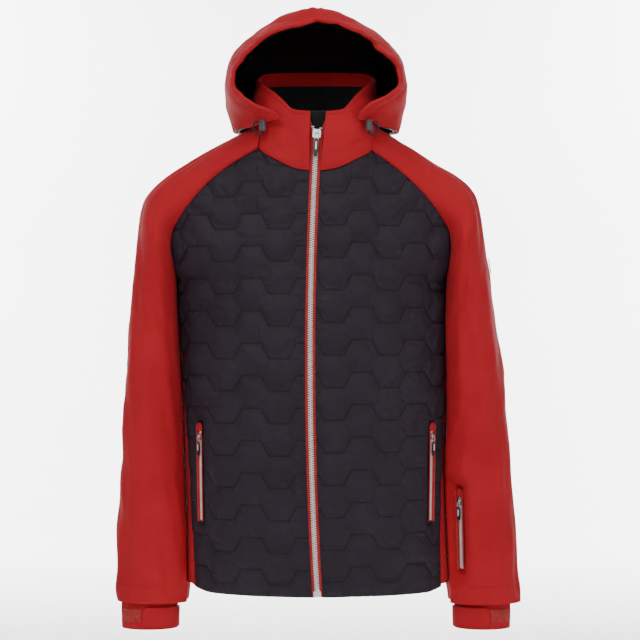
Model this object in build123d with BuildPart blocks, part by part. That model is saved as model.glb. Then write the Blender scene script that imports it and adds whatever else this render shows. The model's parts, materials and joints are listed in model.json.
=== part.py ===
from build123d import *
import math
import os

os.makedirs("parts", exist_ok=True)

# A padded ski jacket, zipped up with its hood raised, as it hangs on a torso form.
# X points to the wearer's left, Y to the wearer's back and Z up, in millimetres.
# The origin is the middle of the neck opening, where a hanger's hook comes out.

# Body, measured from the origin
BODY_LENGTH = 725.0
HEM_HALF = 215.0
WAIST_HALF = 210.0
CHEST_HALF = 217.0
SHOULDER_HALF = 272.0
SHOULDER_DROP = 84.0
ARMPIT_DROP = 225.0
CHEST_DROP = 260.0
RIB_DROP = 406.0
WAIST_DROP = 565.5
CAP_SWELL = 20.0
SIDE_PANEL_HALF = 204.0
SIDE_VENT = 16.0
HEM_FACING = 25.0

# Front and back depths at the hem, the chest and the neck
FRONT_HEM = 122.0
FRONT_BOW = 37.0
FRONT_COLLAR = 84.0
BACK_HEM = 118.0
BACK_CHEST = 128.0
BACK_SHOULDER = 112.0
BACK_NECK = 66.0

# Collar
NECK_HALF = 97.0
NECK_RISE = 38.0
NECK_FRONT_DROP = 46.0
SEAM_NECK_X = 92.0
SEAM_NECK_DROP = 6.0
SEAM_MIDDLE_IN = 89.8
SEAM_MIDDLE_DROP = 78.1
SEAM_LOW_IN = 40.8
SEAM_LOW_RISE = 78.7
COLLAR_FRONT = 56.0
COLLAR_SIDE = 108.0
COLLAR_BACK = 132.0
COLLAR_FRONT_FLAT = 12.0
COLLAR_BACK_FLAT = 19.8

# Cloth thicknesses
SHELL = 5.0
FLEECE = 2.5
LINING = 1.5
LINING_INSET = 8.5
SLEEVE_WALL = 4.0
HOOD_WALL = 3.0

# Clearances
MOVING_GAP = 0.5
SLIDING_GAP = 0.4
SLEEVE_GAP = 4.0
CUFF_FIT = 0.2
OVERCUT = 10.0

# Sleeves
SLEEVE_LENGTH = 748.0
ELBOW_DROP = 400.0
CUFF_LENGTH = 42.0
CUFF_TUCK = 12.0
CUFF_NECK = 3.0
CUFF_HALF_WIDTH = 47.0
CUFF_HALF_DEPTH = 38.0
CUFF_WALL = 3.0
TAB_LOW_GAP = 3.0
TAB_CORNER = 8.0
TAB_HEIGHT = 34.0
TAB_REACH = 53.0
TAB_THICK = 2.2
TAB_GAP = 0.5
PATCH_FROM_TAB = 2.0
PATCH_CORNER = 3.0
PATCH_HEIGHT = 22.0
PATCH_THICK = 0.8

# Main zip: its middle line bows a little to the wearer's right
ZIP_LOW_X = 2.5
ZIP_MID_X = -9.0
ZIP_HIGH_X = 4.0
ZIP_SLOT = 8.3
ZIP_SLOT_FLARE = 4.0
ZIP_TEETH_HALF = 3.9
ZIP_TEETH_OUT = 0.8
ZIP_TEETH_IN = 3.2
ZIP_TAPE_THICK = 1.0
ZIP_POST_GAP = 0.6
ZIP_POST_CLEAR = 0.24
ZIP_SLIDER_DROP = -13.0
ZIP_ABOVE_SLIDER = 14.0
ZIP_BOX_LENGTH = 10.0
ZIP_BOX_RIM = 2.5
TEETH_END_GAP = 2.0
TAPE_GAP = 0.3
TAPE_BACK = 2.0
STORM_HALF = 22.0
STORM_CLEAR = 1.0
STORM_INSET = 6.8
STORM_THICK = 1.2

# Hand pockets and the sleeve pocket
POCKET_X = 188.0
POCKET_TOP = 452.0
POCKET_LENGTH = 158.0
POCKET_SLOT = 6.2
POCKET_BAG_WIDTH = 130.0
POCKET_BAG_INSET = 5.6
POCKET_BAG_THICK = 1.6
SLEEVE_POCKET_TOP = 560.0
SLEEVE_POCKET_LENGTH = 132.0
SLEEVE_POCKET_SHARE = -0.66
SLEEVE_POCKET_SLOT = 5.6

# Hood
HOOD_BASE = 24.0
HOOD_TOP = 227.0
HOOD_HALF = 153.0
HOOD_FRONT = 115.0
HOOD_BACK = 152.0
HOOD_TILT_BACK = 104.0
FACE_TOP_DROP = 21.0
FACE_SIDE_MARGIN = 16.0
FACE_CHIN_HALF = 60.0
FACE_CHIN_RISE = 22.0

# Zip line: one arc through the hem, the chest and the top of the collar
zip_low = Vector(ZIP_LOW_X, -FRONT_HEM, -BODY_LENGTH)
zip_high = Vector(ZIP_HIGH_X, -FRONT_COLLAR, COLLAR_FRONT)
zip_middle = (zip_low + zip_high) / 2
zip_middle = Vector(ZIP_MID_X, zip_middle.Y - FRONT_BOW, zip_middle.Z)
with BuildLine() as zip_line:
    ThreePointArc(zip_low, zip_middle, zip_high)
zip_arc = zip_line.edges()[0]


def share_of_zip(height):
    """How far up the zip a height lies, from 0 at the hem to 1 at the collar's top."""
    return (height + BODY_LENGTH) / (COLLAR_FRONT + BODY_LENGTH)


def zip_x(height):
    """Where the zip's middle line passes, left or right of the middle plane."""
    share = share_of_zip(height)
    straight = ZIP_LOW_X + (ZIP_HIGH_X - ZIP_LOW_X) * share
    bow = ZIP_MID_X - (ZIP_LOW_X + ZIP_HIGH_X) / 2
    return straight + bow * 4 * share * (1 - share)


def front_depth(height):
    """How far the front stands forward of the origin."""
    share = share_of_zip(height)
    straight = FRONT_HEM + (FRONT_COLLAR - FRONT_HEM) * share
    return straight + FRONT_BOW * 4 * share * (1 - share)


def between(value, points):
    """Reads a polyline of (height, size) points, lowest first."""
    for (low, size_low), (high, size_high) in zip(points, points[1:]):
        if value <= high:
            return size_low + (size_high - size_low) * (value - low) / (high - low)
    return points[-1][1]


BELOW_HEM = -BODY_LENGTH - OVERCUT
ABOVE_COLLAR = COLLAR_BACK + OVERCUT / 2
CHEST_LEVEL = -CHEST_DROP
trunk_levels = [BELOW_HEM, -WAIST_DROP, -RIB_DROP, CHEST_LEVEL]
cap_level = -(ARMPIT_DROP + SHOULDER_DROP) / 2
yoke_levels = [
    CHEST_LEVEL,
    -ARMPIT_DROP,
    cap_level,
    -SHOULDER_DROP,
    -SHOULDER_DROP / 3,
    NECK_RISE,
    ABOVE_COLLAR,
]
half_widths = [
    (BELOW_HEM, HEM_HALF),
    (trunk_levels[1], WAIST_HALF),
    (trunk_levels[2], WAIST_HALF + 2.0),
    (CHEST_LEVEL, CHEST_HALF),
    (-ARMPIT_DROP, CHEST_HALF + 4.0),
    (cap_level, SHOULDER_HALF + CAP_SWELL),
    (-SHOULDER_DROP, SHOULDER_HALF),
    (NECK_RISE, NECK_HALF),
    (ABOVE_COLLAR, NECK_HALF - 2.0),
]
back_depths = [
    (BELOW_HEM, BACK_HEM),
    (CHEST_LEVEL, BACK_CHEST),
    (cap_level, BACK_CHEST),
    (-SHOULDER_DROP, BACK_SHOULDER),
    (NECK_RISE, BACK_NECK),
    (ABOVE_COLLAR, BACK_NECK - 6.0),
]


def body_ring(height):
    """Half width, half depth and middle of the body at a height."""
    half = between(height, half_widths)
    front = front_depth(height)
    back = between(height, back_depths)
    return half, (front + back) / 2, (back - front) / 2


def body_form(inset):
    """Body and collar as one solid, its sides moved in by inset."""
    with BuildPart() as form:
        for levels, straight in ((trunk_levels, False), (yoke_levels, True)):
            for height in levels:
                half, deep, middle = body_ring(height)
                with BuildSketch(Plane((0, middle, height))):
                    Ellipse(half - inset, deep - inset)
            loft(ruled=straight)
    return form.part


def shell_of(form, outer, inner):
    """The wall between two insets of a form."""
    with BuildPart() as wall:
        add(form(outer))
        add(form(inner), mode=Mode.SUBTRACT)
    return wall.part


FAR = BODY_LENGTH + SHOULDER_HALF
RIGHT, LEFT = -1, 1
armpit_x = CHEST_HALF + 5.0
armhole_lean = (SHOULDER_HALF - armpit_x) / (ARMPIT_DROP - SHOULDER_DROP)


def armhole_x(drop):
    """The armhole's slanting plane, from the armpit up to the shoulder tip."""
    return armpit_x + armhole_lean * (ARMPIT_DROP - drop)


def armhole_tool(side, gap):
    """Everything outside the armhole plane and above the armpit."""
    with BuildPart() as tool:
        with BuildSketch(Plane.XZ):
            with BuildLine():
                Polyline(
                    (side * (armpit_x + gap), -ARMPIT_DROP),
                    (side * (armhole_x(0) + gap), 0),
                    (side * (armhole_x(0) + gap), FAR),
                    (side * FAR, FAR),
                    (side * FAR, -ARMPIT_DROP),
                    close=True,
                )
            make_face()
        extrude(amount=FAR, both=True)
    return tool.part


def shoulder_tool(side):
    """The raglan shoulder: above the slanting seam from the neck to the armpit."""
    with BuildPart() as tool:
        with BuildSketch(Plane.XZ):
            with BuildLine():
                neck = (side * SEAM_NECK_X, -SEAM_NECK_DROP)
                middle = (side * (SHOULDER_HALF - SEAM_MIDDLE_IN), -SEAM_MIDDLE_DROP)
                low = (side * (SHOULDER_HALF - SEAM_LOW_IN), SEAM_LOW_RISE - ARMPIT_DROP)
                ThreePointArc(neck, middle, low)
                Polyline(
                    low,
                    (side * armpit_x, -ARMPIT_DROP),
                    (side * FAR, -ARMPIT_DROP),
                    (side * FAR, FAR),
                    (side * NECK_HALF, FAR),
                    (side * NECK_HALF, NECK_RISE),
                    neck,
                )
            make_face()
        extrude(amount=FAR, both=True)
    return tool.part


with BuildPart() as collar_region:
    with BuildSketch(Plane.XZ):
        with BuildLine():
            ThreePointArc(
                (-SEAM_NECK_X, -SEAM_NECK_DROP),
                (0, -NECK_FRONT_DROP),
                (SEAM_NECK_X, -SEAM_NECK_DROP),
            )
            Polyline(
                (SEAM_NECK_X, -SEAM_NECK_DROP),
                (NECK_HALF, NECK_RISE),
                (NECK_HALF, FAR),
                (-NECK_HALF, FAR),
                (-NECK_HALF, NECK_RISE),
                (-SEAM_NECK_X, -SEAM_NECK_DROP),
            )
        make_face()
    extrude(amount=FAR)
    with BuildSketch(Plane.XY.offset(NECK_RISE)):
        Rectangle(FAR, FAR)
    extrude(amount=FAR)

with BuildPart() as below_hem:
    with BuildSketch(Plane.XZ):
        with BuildLine():
            Polyline(
                (-FAR, -FAR - BODY_LENGTH),
                (-FAR, -BODY_LENGTH + SIDE_VENT),
                (-HEM_HALF, -BODY_LENGTH + SIDE_VENT),
                (-SIDE_PANEL_HALF, -BODY_LENGTH),
                (SIDE_PANEL_HALF, -BODY_LENGTH),
                (HEM_HALF, -BODY_LENGTH + SIDE_VENT),
                (FAR, -BODY_LENGTH + SIDE_VENT),
                (FAR, -FAR - BODY_LENGTH),
                close=True,
            )
        make_face()
    extrude(amount=FAR, both=True)


def zip_strip(half, top_half):
    """A strip along the main zip, opening to top_half at the collar's top."""
    with BuildPart() as strip:
        start = -ZIP_SLIDER_DROP
        middle = (start - BODY_LENGTH) / 2
        with BuildSketch(Plane.XZ):
            with BuildLine():
                edges = []
                for side in (-1, 1):
                    low = (zip_x(-BODY_LENGTH) + side * half, -BODY_LENGTH)
                    centre = (zip_x(middle) + side * half, middle)
                    high = (zip_x(start) + side * half, start)
                    ThreePointArc(low, centre, high)
                    edges.append((low, high))
                (low_a, high_a), (low_b, high_b) = edges
                top = COLLAR_FRONT + 3 * OVERCUT
                Polyline(
                    high_a,
                    (ZIP_HIGH_X - top_half, top),
                    (ZIP_HIGH_X + top_half, top),
                    high_b,
                )
                Polyline(low_a, (low_a[0], BELOW_HEM), (low_b[0], BELOW_HEM), low_b)
            make_face()
        extrude(amount=FAR)
    return strip.part


def side_tool(side):
    """The side panel's strip, under the sleeve."""
    with BuildPart() as tool:
        with BuildSketch(Plane.XZ):
            with BuildLine():
                Polyline(
                    (side * SIDE_PANEL_HALF, BELOW_HEM),
                    (side * SIDE_PANEL_HALF, CHEST_LEVEL),
                    (side * armpit_x, -ARMPIT_DROP),
                    (side * FAR, -ARMPIT_DROP),
                    (side * FAR, BELOW_HEM),
                    close=True,
                )
            make_face()
        extrude(amount=FAR, both=True)
    return tool.part


with BuildPart() as front_half:
    with BuildSketch(Plane.XZ):
        Rectangle(2 * FAR, 4 * FAR)
    extrude(amount=FAR)

zip_slot = zip_strip(ZIP_SLOT, ZIP_SLOT + ZIP_SLOT_FLARE)
armholes = {side: armhole_tool(side, -MOVING_GAP / 2) for side in (-1, 1)}
shoulders = {side: shoulder_tool(side) for side in (-1, 1)}
sides = {side: side_tool(side) for side in (-1, 1)}

with BuildPart() as body_wall:
    add(shell_of(body_form, 0, SHELL))
    add(armholes.values(), mode=Mode.SUBTRACT)
    add(below_hem.part, mode=Mode.SUBTRACT)
    add(zip_slot, mode=Mode.SUBTRACT)

with BuildPart() as body_cloth:
    add(body_wall.part)
    add(collar_region.part, mode=Mode.SUBTRACT)
    add(shoulders.values(), mode=Mode.SUBTRACT)


# Jacket body: fronts, back, side panels and raglan shoulders, cut from one wall
body_parts = {}
with BuildPart() as fronts:
    add(body_cloth.part)
    add(front_half.part, mode=Mode.INTERSECT)
    add(sides.values(), mode=Mode.SUBTRACT)
for name, side in (("right", RIGHT), ("left", LEFT)):
    outermost = 0 if side == RIGHT else -1
    body_parts["front_panel_" + name] = fronts.solids().sort_by(Axis.X)[outermost]
    with BuildPart() as side_panel:
        add(body_cloth.part)
        add(sides[side], mode=Mode.INTERSECT)
    body_parts["side_panel_" + name] = side_panel.part
    with BuildPart() as shoulder:
        add(body_wall.part)
        add(shoulders[side], mode=Mode.INTERSECT)
        add(collar_region.part, mode=Mode.SUBTRACT)
    body_parts["shoulder_" + name] = shoulder.part

with BuildPart() as back_panel:
    add(body_cloth.part)
    add(front_half.part, mode=Mode.SUBTRACT)
    add(sides.values(), mode=Mode.SUBTRACT)
body_parts["back_panel"] = back_panel.part

# Collar: the outer cloth, and a fleece lining inside it
with BuildPart() as above_collar:
    with BuildSketch(Plane.YZ):
        with BuildLine():
            Polyline(
                (-FAR, COLLAR_FRONT),
                (COLLAR_FRONT_FLAT - FRONT_COLLAR, COLLAR_FRONT),
                (0, COLLAR_SIDE),
                (BACK_NECK - COLLAR_BACK_FLAT, COLLAR_BACK),
                (FAR, COLLAR_BACK),
                (FAR, FAR),
                (-FAR, FAR),
                close=True,
            )
        make_face()
    extrude(amount=FAR, both=True)

with BuildPart() as collar:
    add(body_wall.part)
    add(collar_region.part, mode=Mode.INTERSECT)
    add(above_collar.part, mode=Mode.SUBTRACT)
body_parts["collar"] = collar.part

with BuildPart() as collar_lining:
    add(shell_of(body_form, SHELL, SHELL + FLEECE))
    add(collar_region.part, mode=Mode.INTERSECT)
    add(above_collar.part, mode=Mode.SUBTRACT)
    add(zip_strip(STORM_HALF, STORM_HALF), mode=Mode.SUBTRACT)
body_parts["collar_lining"] = collar_lining.part

# Storm flap: a strip behind the whole zip, whose top is the chin guard
with BuildPart() as storm_flap:
    add(shell_of(body_form, STORM_INSET, STORM_INSET + STORM_THICK))
    storm_edge = STORM_HALF - STORM_CLEAR
    add(zip_strip(storm_edge, storm_edge), mode=Mode.INTERSECT)
    add(above_collar.part, mode=Mode.SUBTRACT)
    add(below_hem.part, mode=Mode.SUBTRACT)
body_parts["storm_flap"] = storm_flap.part

# Lining: two fronts and a back, inside a gap that holds the pocket bags
with BuildPart() as lining_wall:
    add(shell_of(body_form, LINING_INSET, LINING_INSET + LINING))
    add(armholes.values(), mode=Mode.SUBTRACT)
    add(collar_region.part, mode=Mode.SUBTRACT)
    with BuildSketch(Plane.XY.offset(-BODY_LENGTH + HEM_FACING)):
        Rectangle(2 * FAR, 2 * FAR)
    extrude(amount=-FAR, mode=Mode.SUBTRACT)
with BuildPart() as lining_fronts:
    add(lining_wall.part)
    add(front_half.part, mode=Mode.INTERSECT)
    add(zip_slot, mode=Mode.SUBTRACT)
for name, side in (("right", RIGHT), ("left", LEFT)):
    outermost = 0 if side == RIGHT else -1
    body_parts["lining_front_" + name] = lining_fronts.solids().sort_by(Axis.X)[outermost]
with BuildPart() as lining_back:
    add(lining_wall.part)
    add(front_half.part, mode=Mode.SUBTRACT)
body_parts["lining_back"] = lining_back.part

# Hem facing: the shell cloth turned up inside the hem, below the lining
with BuildPart() as hem_facing:
    add(shell_of(body_form, SHELL, SHELL + LINING))
    add(below_hem.part, mode=Mode.SUBTRACT)
    add(zip_strip(STORM_HALF, STORM_HALF), mode=Mode.SUBTRACT)
    with BuildSketch(Plane.XY.offset(-BODY_LENGTH + HEM_FACING)):
        Rectangle(2 * FAR, 2 * FAR)
    extrude(amount=4 * FAR, mode=Mode.SUBTRACT)
body_parts["hem_facing"] = hem_facing.part

# Hanger loop inside the back of the neck
LOOP_SPAN = 60.0
LOOP_HEIGHT = 10.0
LOOP_REACH = 9.0
LOOP_THICK = 2.0
LOOP_ABOVE_SEAM = 14.0
LOOP_CORNER = 5.4
loop_level = NECK_RISE + LOOP_ABOVE_SEAM
loop_wall = between(loop_level, back_depths) - SHELL - FLEECE
with BuildPart() as hanger_loop:
    with BuildSketch(Plane.XY.offset(loop_level)):
        with BuildLine() as loop_run:
            FilletPolyline(
                (-LOOP_SPAN / 2, loop_wall),
                (-LOOP_SPAN / 2, loop_wall - LOOP_REACH),
                (LOOP_SPAN / 2, loop_wall - LOOP_REACH),
                (LOOP_SPAN / 2, loop_wall),
                radius=LOOP_CORNER,
            )
        trace(line_width=LOOP_THICK)
    extrude(amount=LOOP_HEIGHT)
    add(shell_of(body_form, 0, SHELL + FLEECE), mode=Mode.SUBTRACT)
body_parts["hanger_loop"] = hanger_loop.part.solids().sort_by(Axis.Y)[0]


PULL_LIFT = 1.7
PULL_BAR = 1.4
PULL_EYE_GAP = 0.15
PULL_EYE_WALL = 1.6
PULL_EYE_SHARE = 0.2
GRIP_OVERLAP = 3.0
RING_CORNER = 1.6
RING_INNER_CORNER = 0.5


# Zips. Each has its own plane: x across the chain, y up it and z out of the cloth.
def zip_slider(plane, half, post_gap, plate, length, teeth_z):
    """A slider: two plates round the chain, joined by a blade between its rows."""
    front = teeth_z[1] + SLIDING_GAP
    back = teeth_z[0] - SLIDING_GAP
    bridge = (0, length * PULL_EYE_SHARE)
    corner = half / 2
    with BuildPart() as slider:
        with BuildSketch(plane.offset(front)):
            RectangleRounded(2 * half, length, corner)
        extrude(amount=plate)
        with BuildSketch(plane.offset(front)):
            with Locations(bridge):
                Rectangle(corner, 2.1 * bridge[1])
        extrude(amount=plate + PULL_LIFT + PULL_EYE_WALL)
    with BuildPart() as back_plate:
        with BuildSketch(plane.offset(back)):
            RectangleRounded(2 * half, length, corner)
        extrude(amount=-plate)
    with BuildPart() as post:
        with BuildSketch(plane.offset(back)):
            with Locations(bridge):
                Rectangle(2 * (post_gap - ZIP_POST_CLEAR), 2 * bridge[1])
        extrude(amount=front - back)
    with BuildPart() as whole:
        add(slider.part)
        add(back_plate.part)
        add(post.part)
        eye = plane.offset(front + plate + PULL_LIFT)
        with BuildSketch(Plane(eye.from_local_coords(bridge + (0,)), z_dir=eye.x_dir)):
            Circle(PULL_BAR / math.sqrt(2) + PULL_EYE_GAP)
        extrude(amount=half, both=True, mode=Mode.SUBTRACT)
    return whole.part


def zip_pull(plane, plate, length, teeth_z, ring, tab):
    """A wire ring in the slider's eye, and a moulded tab round its lower bar."""
    lift = teeth_z[1] + SLIDING_GAP + plate + PULL_LIFT
    eye_y = length * PULL_EYE_SHARE
    ring_wide, ring_long = ring
    tab_wide, tab_long, tab_thick = tab
    with BuildPart() as wire:
        with BuildSketch(plane.offset(lift - PULL_BAR / 2)):
            with Locations((0, eye_y - ring_long / 2 + PULL_BAR / 2)):
                RectangleRounded(ring_wide, ring_long, RING_CORNER)
                RectangleRounded(
                    ring_wide - 2 * PULL_BAR,
                    ring_long - 2 * PULL_BAR,
                    RING_INNER_CORNER,
                    mode=Mode.SUBTRACT,
                )
        extrude(amount=PULL_BAR)
    low = eye_y - ring_long + PULL_BAR
    with BuildPart() as grip:
        with BuildSketch(plane.offset(lift - tab_thick / 2)):
            with Locations((0, low - tab_long / 2 + GRIP_OVERLAP)):
                SlotOverall(tab_long, tab_wide, rotation=90)
        extrude(amount=tab_thick)
        add(wire.part, mode=Mode.SUBTRACT)
    return wire.part, grip.part


def zip_straight(plane, slot, teeth_half, length, teeth_z, post_gap):
    """A straight zip's two tapes and its two rows of teeth, lying below its top."""
    middle = (0, -length / 2)
    tape_z = (teeth_z[0] + teeth_z[1]) / 2
    with BuildPart() as tape:
        for side in (-1, 1):
            with BuildSketch(plane.offset(tape_z - ZIP_TAPE_THICK / 2)):
                with Locations((side * (slot + teeth_half) / 2, middle[1])):
                    Rectangle(slot - teeth_half, length)
            extrude(amount=ZIP_TAPE_THICK)
    with BuildPart() as teeth:
        for side in (-1, 1):
            with BuildSketch(plane.offset(teeth_z[0])):
                with Locations((side * (post_gap + teeth_half) / 2, middle[1])):
                    Rectangle(teeth_half - post_gap, length - TEETH_END_GAP)
            extrude(amount=teeth_z[1] - teeth_z[0])
    return tape.part, teeth.part


GARAGE_LIFT = 0.2
GARAGE_ABOVE = 2.0
GARAGE_SLOPE = 82.0


def garage(plane, wide, tall, thick):
    """The small cloth hood over a zip's top end."""
    with BuildPart() as hood:
        with BuildSketch(plane.offset(GARAGE_LIFT)):
            with Locations((0, GARAGE_ABOVE - tall / 2)):
                Trapezoid(wide, tall, GARAGE_SLOPE)
        extrude(amount=thick)
    return hood.part


# Main zip: tapes and teeth follow the arc, the slider turns about its far axis
TURN = math.degrees(zip_arc.length / zip_arc.radius)


def along_zip(sections, start, stop):
    """Turns rectangles about the zip's far axis, from one height to another."""
    first = share_of_zip(start)
    plane = Plane(zip_arc @ first, x_dir=(1, 0, 0), z_dir=zip_arc % first)
    turn = TURN * (share_of_zip(stop) - first)
    with BuildPart() as strip:
        with BuildSketch(plane):
            for (x, y), (wide, deep) in sections:
                with Locations((x, y)):
                    Rectangle(wide, deep)
        revolve(axis=zip_turn_axis, revolution_arc=turn)
    return strip.part


# The axis is turned so that a positive angle climbs the zip
arc_axis = Axis(zip_arc.arc_center, zip_arc.normal())
radius_out = Vector(zip_arc @ 0) - zip_arc.arc_center
climbs = arc_axis.direction.cross(radius_out).Z > 0
zip_turn_axis = arc_axis if climbs else Axis(arc_axis.position, -arc_axis.direction)

zip_top = -ZIP_SLIDER_DROP + ZIP_ABOVE_SLIDER
teeth_foot = -BODY_LENGTH + ZIP_BOX_LENGTH + TEETH_END_GAP
tape_edge = ZIP_SLOT - TAPE_GAP
tape_middle = (tape_edge + ZIP_TEETH_HALF) / 2
tape_wide = tape_edge - ZIP_TEETH_HALF
teeth_middle = (ZIP_TEETH_IN - ZIP_TEETH_OUT) / 2
teeth_deep = ZIP_TEETH_IN + ZIP_TEETH_OUT
body_parts["main_tape"] = along_zip(
    [((side * tape_middle, TAPE_BACK), (tape_wide, ZIP_TAPE_THICK)) for side in (-1, 1)],
    teeth_foot,
    zip_top,
)
for name, side in (("right", RIGHT), ("left", LEFT)):
    row = side * (ZIP_TEETH_HALF + ZIP_POST_GAP) / 2
    body_parts["main_teeth_" + name] = along_zip(
        [((row, teeth_middle), (ZIP_TEETH_HALF - ZIP_POST_GAP, teeth_deep))],
        teeth_foot,
        zip_top - TEETH_END_GAP,
    )
body_parts["main_zip_box"] = along_zip(
    [((0, teeth_middle), (2 * (ZIP_TEETH_HALF + ZIP_BOX_RIM), teeth_deep + 1.0))],
    -BODY_LENGTH + 1.0,
    -BODY_LENGTH + ZIP_BOX_LENGTH,
)

slider_share = share_of_zip(-ZIP_SLIDER_DROP)
slider_climb = zip_arc % slider_share
slider_out = slider_climb.cross(Vector(-1, 0, 0)).normalized()
slider_plane = Plane(
    zip_arc @ slider_share, x_dir=slider_climb.cross(slider_out), z_dir=slider_out
)
main_z = (-ZIP_TEETH_IN, ZIP_TEETH_OUT)
MAIN_SLIDER = 15.0
MAIN_PLATE = 1.5
MAIN_SLIDER_HALF = ZIP_TEETH_HALF + 2.6
MAIN_RING = (8.6, 15.0)
MAIN_TAB = (7.0, 30.0, 2.6)
body_parts["main_slider"] = zip_slider(
    slider_plane, MAIN_SLIDER_HALF, ZIP_POST_GAP, MAIN_PLATE, MAIN_SLIDER, main_z
)
body_parts["main_pull_ring"], body_parts["main_pull_tab"] = zip_pull(
    slider_plane, MAIN_PLATE, MAIN_SLIDER, main_z, MAIN_RING, MAIN_TAB
)


def wall_plane(side, x, height):
    """A plane on the body's outer face, its y up and its z straight out."""
    half, deep, middle = body_ring(height)
    reach = math.sqrt(1 - (x / half) ** 2)
    point = (side * x, middle - deep * reach, height)
    out = Vector(side * x / half**2, -reach / deep, 0).normalized()
    return Plane(point, x_dir=(-out.Y, out.X, 0), z_dir=out)


# Hand pockets
POCKET_Z = (-3.4, -0.4)
POCKET_TEETH = 2.8
POCKET_POST = 0.5
POCKET_SLIDER = 10.0
POCKET_PLATE = 1.2
POCKET_SLIDER_HALF = POCKET_TEETH + 1.8
POCKET_SLIDER_DROP = 20.0
POCKET_RING = (6.6, 13.0)
POCKET_TAB = (5.4, 24.0, 2.2)
POCKET_GARAGE = (13.0, 13.0, 1.6)
BAG_OUTSIDE_ZIP = 10.0
BAG_LOWER = 8.0
BAG_TALLER = 50.0
BAG_CORNER = 25.0
pocket_seats = {}
for name, side in (("right", RIGHT), ("left", LEFT)):
    plane = wall_plane(side, POCKET_X, -POCKET_TOP)
    low = wall_plane(side, POCKET_X, -POCKET_TOP - POCKET_LENGTH)
    climb = (plane.origin - low.origin).normalized()
    plane = Plane(plane.origin, x_dir=plane.x_dir, z_dir=plane.x_dir.cross(climb))
    tape, teeth = zip_straight(
        plane, POCKET_SLOT, POCKET_TEETH, POCKET_LENGTH, POCKET_Z, POCKET_POST
    )
    with BuildPart() as slot:
        with BuildSketch(plane.offset(-2 * SHELL)):
            with Locations((0, -POCKET_LENGTH / 2)):
                Rectangle(2 * POCKET_SLOT, POCKET_LENGTH)
        extrude(amount=4 * SHELL)
    panel = body_parts["front_panel_" + name]
    with BuildPart() as cut_panel:
        add(panel)
        add(slot.part, mode=Mode.SUBTRACT)
    body_parts["front_panel_" + name] = cut_panel.part
    body_parts["pocket_tape_" + name] = tape
    body_parts["pocket_teeth_" + name] = teeth
    body_parts["pocket_garage_" + name] = garage(plane, *POCKET_GARAGE)
    with BuildPart() as bag:
        add(shell_of(body_form, POCKET_BAG_INSET, POCKET_BAG_INSET + POCKET_BAG_THICK))
        with BuildSketch(Plane.XZ):
            bag_x = side * (POCKET_X + BAG_OUTSIDE_ZIP - POCKET_BAG_WIDTH / 2)
            with Locations((bag_x, -POCKET_TOP - POCKET_LENGTH / 2 - BAG_LOWER)):
                RectangleRounded(POCKET_BAG_WIDTH, POCKET_LENGTH + BAG_TALLER, BAG_CORNER)
        extrude(amount=FAR, mode=Mode.INTERSECT)
    body_parts["pocket_bag_" + name] = bag.part
    seat_point = plane.from_local_coords((0, -POCKET_SLIDER_DROP, 0))
    seat = Plane(seat_point, x_dir=plane.x_dir, z_dir=plane.z_dir)
    pocket_seats[name] = seat
    body_parts["pocket_slider_" + name] = zip_slider(
        seat, POCKET_SLIDER_HALF, POCKET_POST, POCKET_PLATE, POCKET_SLIDER, POCKET_Z
    )
    wire, grip = zip_pull(
        seat, POCKET_PLATE, POCKET_SLIDER, POCKET_Z, POCKET_RING, POCKET_TAB
    )
    with BuildPart() as pull:
        add(wire)
        add(grip)
    body_parts["pocket_pull_" + name] = pull.part


# Sleeves: flat tubes that hang beside the body, cut by the armhole plane
SLEEVE_TOP = -SHOULDER_DROP
SLEEVE_HAND = 109.0
sleeve_levels = [
    (SLEEVE_TOP, SHOULDER_HALF + 2.0, 90.0, 62.0),
    (cap_level, SHOULDER_HALF + 12.0, 84.0, 80.0),
    (-ARMPIT_DROP, None, 71.0, 86.0),
    (-ARMPIT_DROP - (ELBOW_DROP - ARMPIT_DROP) * 0.54, None, 86.0, 84.0),
    (-ELBOW_DROP, None, 96.5, 78.0),
    (-ELBOW_DROP - (SLEEVE_LENGTH - ELBOW_DROP) * 0.46, None, 110.0, 64.0),
    (-ELBOW_DROP - (SLEEVE_LENGTH - ELBOW_DROP) * 0.75, None, 111.5, 56.0),
    (-SLEEVE_LENGTH, None, SLEEVE_HAND, 48.0),
]


def sleeve_ring(level):
    """Middle, half width and half depth of a sleeve at one of its levels."""
    height, outer, wide, deep = level
    if outer is None:
        outer = between(height, half_widths) + SLEEVE_GAP + wide
    return outer - wide / 2, wide / 2, deep


def sleeve_form(side):
    """Makes the sleeve's solid on one side, moved in by an inset."""

    def form(inset):
        with BuildPart() as tube:
            for level in sleeve_levels:
                middle, half, deep = sleeve_ring(level)
                with BuildSketch(Plane((side * middle, 0, level[0]))):
                    Ellipse(half - inset, deep - inset)
            loft(ruled=True)
        return tube.part

    return form


def slab(low, high):
    """Everything between two heights."""
    with BuildPart() as layer:
        with BuildSketch(Plane.XY.offset(low)):
            Rectangle(4 * FAR, 4 * FAR)
        extrude(amount=high - low)
    return layer.part


cuff_top = -SLEEVE_LENGTH + CUFF_TUCK
cuff_low = -SLEEVE_LENGTH - CUFF_LENGTH
hand_middle, hand_half, hand_deep = sleeve_ring(sleeve_levels[-1])


def cuff_form(side):
    """Makes the cuff's solid, swollen by minus the inset; its top fills the sleeve."""

    def form(inset):
        with BuildPart() as tube:
            for height, half, deep in (
                (cuff_low - OVERCUT, CUFF_HALF_WIDTH, CUFF_HALF_DEPTH),
                (-SLEEVE_LENGTH - CUFF_NECK, CUFF_HALF_WIDTH, CUFF_HALF_DEPTH),
                (
                    cuff_top + OVERCUT / 2,
                    hand_half - SLEEVE_WALL - CUFF_FIT,
                    hand_deep - SLEEVE_WALL - CUFF_FIT,
                ),
            ):
                with BuildSketch(Plane((side * hand_middle, 0, height))):
                    Ellipse(half - inset, deep - inset)
            loft(ruled=True)
        return tube.part

    return form


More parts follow.
